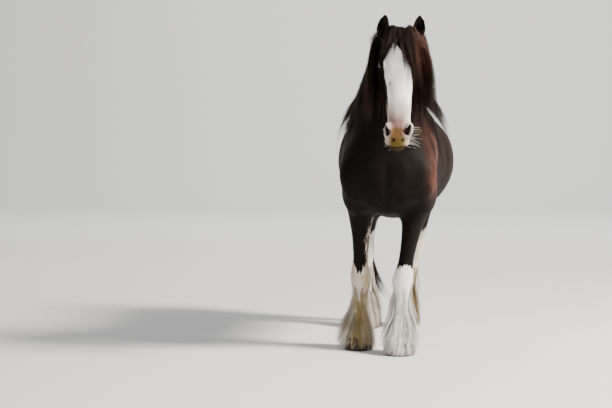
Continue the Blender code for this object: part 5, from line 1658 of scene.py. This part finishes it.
def make_feather(leg, seed, sizes):
    """The long hair of one lower leg. Hair from higher up lies over hair from further down."""
    line, side, sections = LEGS[leg]
    draw = np.random.default_rng(seed)
    sections = np.array(sections)
    guides, normals, places = [], [], []
    share = np.linspace(0, 1, 10)
    for i in range(262):
        low = i % 5 == 1 or (leg == "fore_leg_left" and i % 5 == 3)
        angle = draw.uniform(-math.pi, math.pi)
        behind = 0.5 + 0.5 * math.cos(angle)
        out = np.array((math.sin(angle), math.cos(angle), 0))
        close = i % 4 == 0
        if close:
            # Shorter hair that lies close on the cannon and the knee
            top = draw.uniform(0.2, 0.5 + 0.06 * behind)
            reach = draw.uniform(0.1, 0.17)
        else:
            highest = 0.25 + 0.27 * behind**0.7
            top = 0.1 + (highest - 0.1) * draw.uniform(0, 1) ** 0.85
            reach = sizes.feather_length * (0.55 + 0.45 * fade((top - 0.08) / 0.22)) * draw.uniform(0.85, 1.15)
        if low:
            # A fringe that covers the hoof
            top = draw.uniform(0.085, 0.15)
            reach = draw.uniform(0.12, 0.2) if leg != "fore_leg_left" else top + draw.uniform(0.02, 0.05)
        if leg == "fore_leg_right" and behind < 0.3 and top < 0.25:
            reach *= 0.55
        z = np.maximum(0.003 + 0.005 * draw.uniform(0, 1), top - reach * (0.75 * share + 0.25 * share**2))
        x, y = line(side, np.maximum(z, 0.1))
        half, front, back = (np.interp(-z, -FEATHER_SPACE[:, 0], FEATHER_SPACE[:, c]) for c in (1, 2, 3))
        if leg == "fore_leg_right" and out[0] < 0:
            half = np.interp(-z, -OUTER_RIGHT[:, 0], OUTER_RIGHT[:, 1])
        bone, shin, heel = (np.interp(-z, -sections[:, 0], sections[:, c]) for c in (1, 2, 3))
        outer = 1 / np.hypot(out[0] / half, out[1] / (back if out[1] > 0 else front))
        inner = 1 / np.hypot(out[0] / bone, out[1] / (heel if out[1] > 0 else shin)) - 0.004
        lifted = np.clip((top - z) / 0.2, 0, 1) ** 0.75 * draw.uniform(0.72, 1.05)
        radius = inner + (outer - inner) * lifted * (0.45 if close else 1.0)
        toe, wall = 0.1145 - 0.31 * z, 0.101 - 0.14 * z
        hoof = 1 / np.hypot(out[0] / wall, out[1] / (0.088 if out[1] > 0 else toe))
        radius = np.maximum(radius, hoof * fade((0.11 - z) / 0.04))
        sway = 0.008 * np.sin(16 * (top - z) + draw.uniform(0, 6)) * share
        x = x + out[0] * radius + out[1] * sway
        y = y + out[1] * radius - out[0] * sway
        guides.append(np.stack([x, y, z], 1))
        normals.append(np.tile(out, (10, 1)))
        places.append(((angle / (2 * math.pi)) % 1, 0.05 + 1.7 * top))
    paths, flats, owner = clumps(draw, guides, normals, 15, 7, 0.013, 0.007, 0.5, 0.01, 0.8)
    count = len(paths)
    uv = np.array(places)[owner] + draw.uniform(-0.02, 0.02, (count, 2))
    # Strands with a low shade take the deep colour: the stain on most legs, and on the left foreleg a grey that
    # is painted shade among the strands.
    shade = 0.85 + draw.normal(0, 0.1, count) + draw.normal(0, 0.09, len(guides))[owner]
    shade -= 0.74 * leg_stain(paths[:, 2, :])
    width = sizes.strand_width * draw.uniform(0.6, 1.05, count)
    return strands(leg.replace("leg", "feather"), paths, flats, width, width * 0.28, np.clip(shade, 0, 1), uv)


def coat_lie(points):
    """The direction in which the short coat lies at each point."""
    local = in_head(points)
    z = points[:, 2]
    down = fade((1.05 - z) / 0.25)[:, None]
    head = (fade((0.32 - local[:, 1]) / 0.15) * (local[:, 2] > -0.9))[:, None]
    lie = np.array((0, 0.88, -0.45)) * (1 - down) + np.array((0, 0.18, -0.98)) * down
    lie = lie * (1 - head) + (HEAD_TURN @ np.array((0, 0.22, -0.97))) * head
    return lie / np.linalg.norm(lie, axis=1)[:, None]


def make_tufts():
    """Short tufts where the coat breaks the outline: breast, belly, jaw, forearms, thighs and rump."""
    draw = np.random.default_rng(5)
    skin = bpy.data.objects["skin"]
    mesh = skin.data
    count = len(mesh.polygons)
    centres, normals, areas = np.empty(count * 3), np.empty(count * 3), np.empty(count)
    mesh.polygons.foreach_get("center", centres)
    mesh.polygons.foreach_get("normal", normals)
    mesh.polygons.foreach_get("area", areas)
    centres = centres.reshape(-1, 3) - np.array((0, FORWARD_SHIFT, 0))
    normals = normals.reshape(-1, 3)
    local = in_head(centres)
    z = centres[:, 2]
    on_head = (local[:, 1] < 0.36) & (local[:, 2] > -0.86) & (np.abs(local[:, 0]) < 0.2)
    want = 1.6 * fade((-normals[:, 2] - 0.1) / 0.5) * ~on_head
    want += 1.1 * fade((1.06 - z) / 0.1) * fade((z - 0.52) / 0.1) * (normals[:, 1] > 0.2)
    want = np.where(on_head, 3.4 * fade((local[:, 1] - 0.185) / 0.05), want)
    want = np.where(on_head & (local[:, 2] < -0.6) & (local[:, 1] < 0.2), 0.0, want)
    for outward in (1, -1):
        near_eye = np.linalg.norm(local - eye_axes(outward)[0], axis=1)
        want = np.where(near_eye < 0.032, 0.0, want)
    want *= z > 0.6
    chance = np.cumsum(want * areas)
    picks = np.searchsorted(chance, draw.uniform(0, chance[-1], 13000))
    root, normal = centres[picks], normals[picks]
    lie = coat_lie(root) + draw.normal(0, 0.14, (len(picks), 3))
    lie -= normal * np.sum(lie * normal, axis=1)[:, None]
    lie /= np.maximum(np.linalg.norm(lie, axis=1), 1e-6)[:, None]
    root = root + np.cross(lie, normal) * draw.uniform(-0.006, 0.006, len(picks))[:, None]
    length = draw.uniform(0.012, 0.022, len(picks)) * np.where(on_head[picks], 0.6, 1.0)
    length *= 1 + 0.8 * fade((-normal[:, 2] - 0.3) / 0.4)
    t = np.linspace(0, 1, 3)[None, :, None]
    rise = 0.05 + 0.1 * draw.uniform(0, 1, len(picks))
    paths = root[:, None, :] + lie[:, None, :] * t * length[:, None, None]
    lift = normal[:, None, :] * (t * 1.3 - t**2 * 0.8) * (rise * length)[:, None, None]
    paths = paths + lift - normal[:, None, :] * 0.0006
    flats = np.repeat(np.cross(lie, normal)[:, None, :], 3, axis=1)
    width = length * draw.uniform(0.07, 0.11, len(picks))
    around = 0.5 + 0.45 * np.arctan2(root[:, 0], 1.3 - root[:, 2]) / math.pi
    uv = np.stack([around, 0.02 + 0.4 * (root[:, 1] + 1.3)], 1)
    obj = strands("coat_tufts", paths, flats, width, width * 0.3, np.full(len(picks), 0.5), uv)
    give_markings(obj, points_of(obj), np.repeat(root, 7, axis=0))
    return obj


def lone_hairs(name, hairs, fall):
    """Single short hairs from their roots, directions, lengths and widths."""
    roots, starts, lengths, widths, shades = (np.array(column) for column in zip(*hairs))
    starts /= np.linalg.norm(starts, axis=1)[:, None]
    t = np.linspace(0, 1, 5)[None, :, None]
    paths = roots[:, None, :] + starts[:, None, :] * (t - 0.04) * lengths[:, None, None]
    paths = paths - np.array((0, 0, 1)) * fall * t**2 * lengths[:, None, None]
    flats = np.repeat(np.cross(starts, (0.1, 0.2, 1.0))[:, None, :], 5, axis=1)
    uv = 0.05 + 0.9 * np.stack([(roots[:, 0] + 0.2) / 0.6, (roots[:, 2] - 1.3) / 1.1], 1)
    return strands(name, paths, flats, widths, widths * 0.6, shades, uv)


def make_whiskers(tree):
    """Long feelers on the muzzle."""
    draw = np.random.default_rng(3)
    hairs = []
    for i in range(56):
        outward = 1 if i % 10 < 6 else -1
        down = draw.uniform(0.6, 0.745)
        aim = np.array((outward * draw.uniform(0.035, 0.09), draw.uniform(0.02, 0.2), -down))
        near, normal, _, _ = tree.find_nearest(Vector(in_world(aim)))
        start = 0.35 * np.array(normal) + np.array((outward, -0.1, 0.08)) + draw.normal(0, 0.22, 3)
        length = draw.uniform(0.02, 0.11 if outward > 0 else 0.05)
        hairs.append((np.array(near), start, length, 0.001, draw.uniform(0.85, 1.0)))
    return lone_hairs("whiskers", hairs, 0.12)


def make_lashes():
    """The lashes of the upper lids."""
    draw = np.random.default_rng(4)
    hairs = []
    for outward in (1, -1):
        centre, long_axis, up, look = eye_axes(outward)
        for _ in range(60):
            u = draw.uniform(-0.019, 0.017)
            height = 0.013 * (1 - (u / 0.0215) ** 2) ** 0.75
            aim = long_axis * u + up * (height + 0.001) + look * 0.016
            aim *= 0.0268 / np.linalg.norm(aim)
            start = HEAD_TURN @ (look * 0.8 - up * 0.2 + long_axis * u * 10) + draw.normal(0, 0.08, 3)
            hairs.append((in_world(centre + aim), start, draw.uniform(0.012, 0.021), 0.0008, 0.02))
    return lone_hairs("eyelashes", hairs, -0.35)


def make_ear_hair():
    """Soft hair that lines the rims of the ears and crosses their openings."""
    draw = np.random.default_rng(6)
    hairs = []
    for outward in (1, -1):
        place = np.array(ear_place(outward))
        for _ in range(1500):
            share = draw.uniform(0.03, 0.86)
            half_width, depth, opening = ear_section(share)
            edge = draw.uniform(0, 1) ** 1.5
            turn = math.radians(180 - opening) * draw.choice((-1, 1)) * (1 - 0.45 * edge)
            flat = np.array((math.sin(turn) * half_width, math.cos(turn) * depth)) * 0.9
            across = flat[0] + ear_bow(outward, share)
            spot = np.array((across, flat[1] - 0.01 * share**2, share * EAR_LENGTH, 1))
            aim = np.array((-flat[0] * 16, -0.5 * (1 - edge), 1.0))
            start = place[:3, :3] @ aim + draw.normal(0, 0.12, 3)
            length = draw.uniform(0.014, 0.034) * (1 - 0.5 * share)
            hairs.append(((place @ spot)[:3], start, length, 0.001, draw.uniform(0.0, 0.5)))
    return lone_hairs("ear_hair", hairs, 0.1)


# Eyes and hooves.


def make_eye(side, sizes):
    outward = 1 if side == "left" else -1
    deselect()
    bpy.ops.mesh.primitive_uv_sphere_add(segments=48, ring_count=32, radius=sizes.eye_radius)
    obj = bpy.context.view_layer.objects.active
    obj.name = "eyeball_" + side
    centre, long_axis, up, look = eye_axes(outward)
    points = points_of(obj)
    height = points[:, 2] / sizes.eye_radius
    points[:, 2] += 0.0012 * fade((height - 0.7) / 0.25)
    give_values(obj, "GazeLong", points[:, 0])
    give_values(obj, "GazeHigh", points[:, 1])
    turn = np.stack([long_axis, up, look], 1)
    move_points(obj, in_world(points @ turn.T + centre))
    face_outwards(obj)
    return obj


def select_parts(obj, kind, wanted):
    """In edit mode, selects only the wanted edges or faces."""
    bpy.ops.mesh.select_mode(type=kind)
    bpy.ops.mesh.select_all(action="DESELECT")
    bm = bmesh.from_edit_mesh(obj.data)
    for part in bm.edges if kind == "EDGE" else bm.faces:
        part.select_set(wanted(part))
    bmesh.update_edit_mesh(obj.data)


def make_hoof(leg, sizes):
    """A hoof whose wall slopes forward, with growth rings, a parted heel and a flat sole."""
    line, side, _ = LEGS[leg]
    deselect()
    bpy.ops.mesh.primitive_cylinder_add(vertices=64, radius=1.0, depth=1.0)
    obj = bpy.context.view_layer.objects.active
    obj.name = "hoof_horn_" + leg.replace("_leg", "")
    obj.data.transform(Matrix.Translation((0, 0, 0.5)))
    bpy.ops.object.mode_set(mode="EDIT")
    select_parts(obj, "EDGE", lambda edge: abs(edge.verts[0].co.z - edge.verts[1].co.z) > 0.5)
    bpy.ops.mesh.subdivide(number_cuts=22)
    select_parts(obj, "FACE", lambda face: abs(face.normal.z) > 0.9)
    bpy.ops.mesh.inset(thickness=0.06)
    bpy.ops.mesh.inset(thickness=0.3)
    bpy.ops.mesh.inset(thickness=0.3)
    bpy.ops.object.mode_set(mode="OBJECT")
    x, y = line(side, 0.085)
    half = sizes.hoof_half_width
    sections = np.array(
        (
            (0.0, half - 0.0015, 0.1065, 0.0805),
            (0.004, half + 0.0005, 0.1085, 0.0825),
            (0.008, half + 0.0005, 0.108, 0.0825),
            (0.045, half - 0.005, 0.097, 0.08),
            (0.07, half - 0.009, 0.088, 0.0775),
            (0.076, half - 0.012, 0.085, 0.075),
        )
    )
    points = points_of(obj)
    level = (points[:, 2] - points[:, 2].min()) / np.ptp(points[:, 2])
    radius = np.hypot(points[:, 0], points[:, 1])
    angle = np.arctan2(points[:, 1], points[:, 0])
    across, along = rounded(angle, 2.15)
    height = level * 0.076
    width, front, back = (np.interp(height, sections[:, 0], sections[:, c]) for c in (1, 2, 3))
    grow = 1 + 0.006 * np.sin(level * 52 + 0.5 * np.sin(angle * 3)) * (level > 0.05) * (level < 0.97)
    heel = 1 - 0.1 * bump_at(np.abs(angle - math.pi / 2), 0.16) * (along > 0)
    scale = radius * grow * heel
    shaped = np.empty_like(points)
    shaped[:, 0] = x + across * width * np.where(along > 0, 1 - 0.1 * along, 1) * scale
    shaped[:, 1] = y + along * np.where(along > 0, back, front) * scale
    shaped[:, 2] = height * (1 - 0.26 * along * radius)
    move_points(obj, shaped)
    face_outwards(obj)
    return obj


# Operators: one for each piece or group of like pieces.


class HORSE_OT_skin(bpy.types.Operator):
    """Builds the skin with its folds, lids, nostrils, mouth and ears"""

    bl_idname = "horse.skin"
    bl_label = "Skin"

    def execute(self, context):
        skin = make_skin(context.scene.horse_sizes)
        give_markings(skin, points_of(skin))
        finish_piece(
            skin, coat_material(context.scene.horse_colours), "coat",
            "torso", "neck", "head", "ear_left", "ear_right",
            "fore_leg_left", "fore_leg_right", "hind_leg_left", "hind_leg_right",
        )
        return {"FINISHED"}


class HORSE_OT_eyes(bpy.types.Operator):
    """Builds the two eyeballs"""

    bl_idname = "horse.eyes"
    bl_label = "Eyes"

    def execute(self, context):
        material = eye_material(context.scene.horse_colours)
        for side in ("left", "right"):
            finish_piece(make_eye(side, context.scene.horse_sizes), material, "eye", "eye_" + side)
        return {"FINISHED"}


class HORSE_OT_hooves(bpy.types.Operator):
    """Builds the four hooves"""

    bl_idname = "horse.hooves"
    bl_label = "Hooves"

    def execute(self, context):
        material = horn_material(context.scene.horse_colours)
        for leg in LEGS:
            end, _, side = leg.split("_")
            finish_piece(make_hoof(leg, context.scene.horse_sizes), material, "hoof_horn", f"hoof_{end}_{side}")
        return {"FINISHED"}


class HORSE_OT_mane(bpy.types.Operator):
    """Builds both sides of the mane and the forelock"""

    bl_idname = "horse.mane"
    bl_label = "Mane and forelock"

    def execute(self, context):
        sizes, colours = context.scene.horse_sizes, context.scene.horse_colours
        # The paler colour is hair faded by the sun, and also painted sunlight on the lit crown and left side.
        material = hair_material("mane_hair", colours.mane, colours.mane_bleached_and_sunlit, colours.mane_bleached_and_sunlit)
        tree = skin_tree()
        finish_piece(make_mane(1, tree, sizes), material, "long_hair", "neck")
        finish_piece(make_mane(-1, tree, sizes), material, "long_hair", "neck")
        finish_piece(make_forelock(tree, sizes), material, "long_hair", "head")
        return {"FINISHED"}


class HORSE_OT_tail(bpy.types.Operator):
    """Builds the hair of the tail"""

    bl_idname = "horse.tail"
    bl_label = "Tail"

    def execute(self, context):
        sizes, colours = context.scene.horse_sizes, context.scene.horse_colours
        material = hair_material("tail_strands", colours.mane, colours.mane_bleached_and_sunlit, colours.mane_bleached_and_sunlit)
        finish_piece(make_tail(sizes), material, "long_hair", "tail")
        return {"FINISHED"}


class HORSE_OT_feather(bpy.types.Operator):
    """Builds the long hair of the four lower legs"""

    bl_idname = "horse.feather"
    bl_label = "Feather"

    def execute(self, context):
        sizes, colours = context.scene.horse_sizes, context.scene.horse_colours
        stained = hair_material("feather_hair", colours.stained, colours.white, (0.6, 0.48, 0.31), 0.6)
        # The clean feather's deep colour is a lilac grey: painted shade among the strands.
        clean = hair_material("clean_feather_hair", (0.56, 0.52, 0.51), colours.white, colours.white, 0.6)
        for i, leg in enumerate(LEGS):
            material = clean if leg == "fore_leg_left" else stained
            finish_piece(make_feather(leg, 60 + i, sizes), material, "white_feather", leg)
        return {"FINISHED"}


class HORSE_OT_short_hair(bpy.types.Operator):
    """Builds the tufts of the short coat, the whiskers, the lashes and the hair of the ears"""

    bl_idname = "horse.short_hair"
    bl_label = "Short hair"

    def execute(self, context):
        colours = context.scene.horse_colours
        finish_piece(make_tufts(), coat_material(colours, "coat_tufts", 0.0004), "coat")
        material = hair_material("whisker_hair", colours.stained, colours.white, colours.white)
        finish_piece(make_whiskers(skin_tree()), material, "coat")
        material = hair_material("fine_dark_hair", colours.mane, colours.bleached_and_sunlit, colours.bleached_and_sunlit, 0.55)
        finish_piece(make_lashes(), material, "coat")
        finish_piece(make_ear_hair(), material, "coat")
        return {"FINISHED"}


class HORSE_OT_stage(bpy.types.Operator):
    """Sets the floor, the lights and the camera"""

    bl_idname = "horse.stage"
    bl_label = "Stage"

    def execute(self, context):
        deselect()
        bpy.ops.mesh.primitive_plane_add(size=60.0)
        floor = context.view_layer.objects.active
        floor.name = "studio_floor"
        bpy.ops.object.mode_set(mode="EDIT")
        select_parts(floor, "EDGE", lambda edge: all(v.co.y > 20 for v in edge.verts))
        bpy.ops.mesh.extrude_region_move(TRANSFORM_OT_translate={"value": (0, 0, 30)})
        bpy.ops.object.mode_set(mode="OBJECT")
        apply(floor, "BEVEL", width=8.0, segments=16, limit_method="ANGLE")
        material, n, shader, place = new_material("studio_floor", Roughness=0.9)
        shade = n.noise(place, 0.6, 3.0)
        tone = context.scene.horse_colours.floor
        grey = n.mix(n.math("MULTIPLY", shade, 0.05), rgba(tone), (0.5, 0.5, 0.5, 1))
        n.put(grey, shader.inputs["Base Color"])
        floor.data.materials.append(material)
        floor.data.polygons.foreach_set("use_smooth", np.ones(len(floor.data.polygons), bool))
        self.light("key", (8.5, -3.0, 7.5), 2.5, 4300, (1.0, 0.95, 0.87))
        self.light("fill", (-5.0, -10.0, 4.5), 6.0, 330, (0.92, 0.94, 1.0))
        self.light("rim", (-4.5, 6.0, 6.0), 4.0, 170, (1.0, 0.97, 0.93))
        self.light("backdrop", (0.0, 12.0, 15.0), 12.0, 4200, (1.0, 1.0, 1.0), (0, 27, 5))
        world = context.scene.world or bpy.data.worlds.new("studio")
        context.scene.world = world
        world.use_nodes = True
        background = world.node_tree.nodes.get("Background")
        background.inputs["Color"].default_value = (0.86, 0.9, 0.96, 1)
        background.inputs["Strength"].default_value = 0.38
        camera = bpy.data.objects.new("camera", bpy.data.cameras.new("camera"))
        context.scene.collection.objects.link(camera)
        turn, dip = math.radians(CAMERA_TURN), math.radians(CAMERA_DIP)
        look = Vector((-math.sin(turn) * math.cos(dip), math.cos(turn) * math.cos(dip), -math.sin(dip)))
        camera.location = CAMERA_PLACE
        camera.rotation_euler = look.to_track_quat("-Z", "Y").to_euler()
        camera.data.sensor_width = SENSOR_WIDTH
        camera.data.lens = FOCAL_PIXELS / FRAME_PIXELS * SENSOR_WIDTH
        camera.data.clip_end = 200
        context.scene.camera = camera
        return {"FINISHED"}

    def light(self, name, place, size, power, tint, aim=(0, 0, 1.2)):
        data = bpy.data.lights.new(name, "AREA")
        data.size, data.energy, data.color = size, power, tint
        lamp = bpy.data.objects.new(name, data)
        lamp.location = place
        lamp.rotation_euler = (Vector(aim) - Vector(place)).to_track_quat("-Z", "Y").to_euler()
        bpy.context.scene.collection.objects.link(lamp)


PIECES = (
    HORSE_OT_skin,
    HORSE_OT_eyes,
    HORSE_OT_hooves,
    HORSE_OT_mane,
    HORSE_OT_tail,
    HORSE_OT_feather,
    HORSE_OT_short_hair,
    HORSE_OT_stage,
)


class HORSE_PT_panel(bpy.types.Panel):
    """Lists the pieces, the sizes and the colours"""

    bl_idname = "HORSE_PT_panel"
    bl_label = "Shire Horse"
    bl_space_type = "VIEW_3D"
    bl_region_type = "UI"
    bl_category = "Horse"

    def draw(self, context):
        for piece in PIECES:
            self.layout.operator(piece.bl_idname)
        for group in (context.scene.horse_sizes, context.scene.horse_colours):
            for key in group.__annotations__:
                self.layout.prop(group, key)


CLASSES = (HorseSizes, HorseColours, *PIECES, HORSE_PT_panel)


def register():
    for cls in CLASSES:
        bpy.utils.register_class(cls)
    bpy.types.Scene.horse_sizes = PointerProperty(type=HorseSizes)
    bpy.types.Scene.horse_colours = PointerProperty(type=HorseColours)


def unregister():
    del bpy.types.Scene.horse_colours
    del bpy.types.Scene.horse_sizes
    for cls in reversed(CLASSES):
        bpy.utils.unregister_class(cls)


def main():
    register()
    bpy.ops.horse.skin()
    bpy.ops.horse.eyes()
    bpy.ops.horse.hooves()
    bpy.ops.horse.mane()
    bpy.ops.horse.tail()
    bpy.ops.horse.feather()
    bpy.ops.horse.short_hair()
    bpy.ops.horse.stage()
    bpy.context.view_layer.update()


if __name__ == "__main__":
    main()
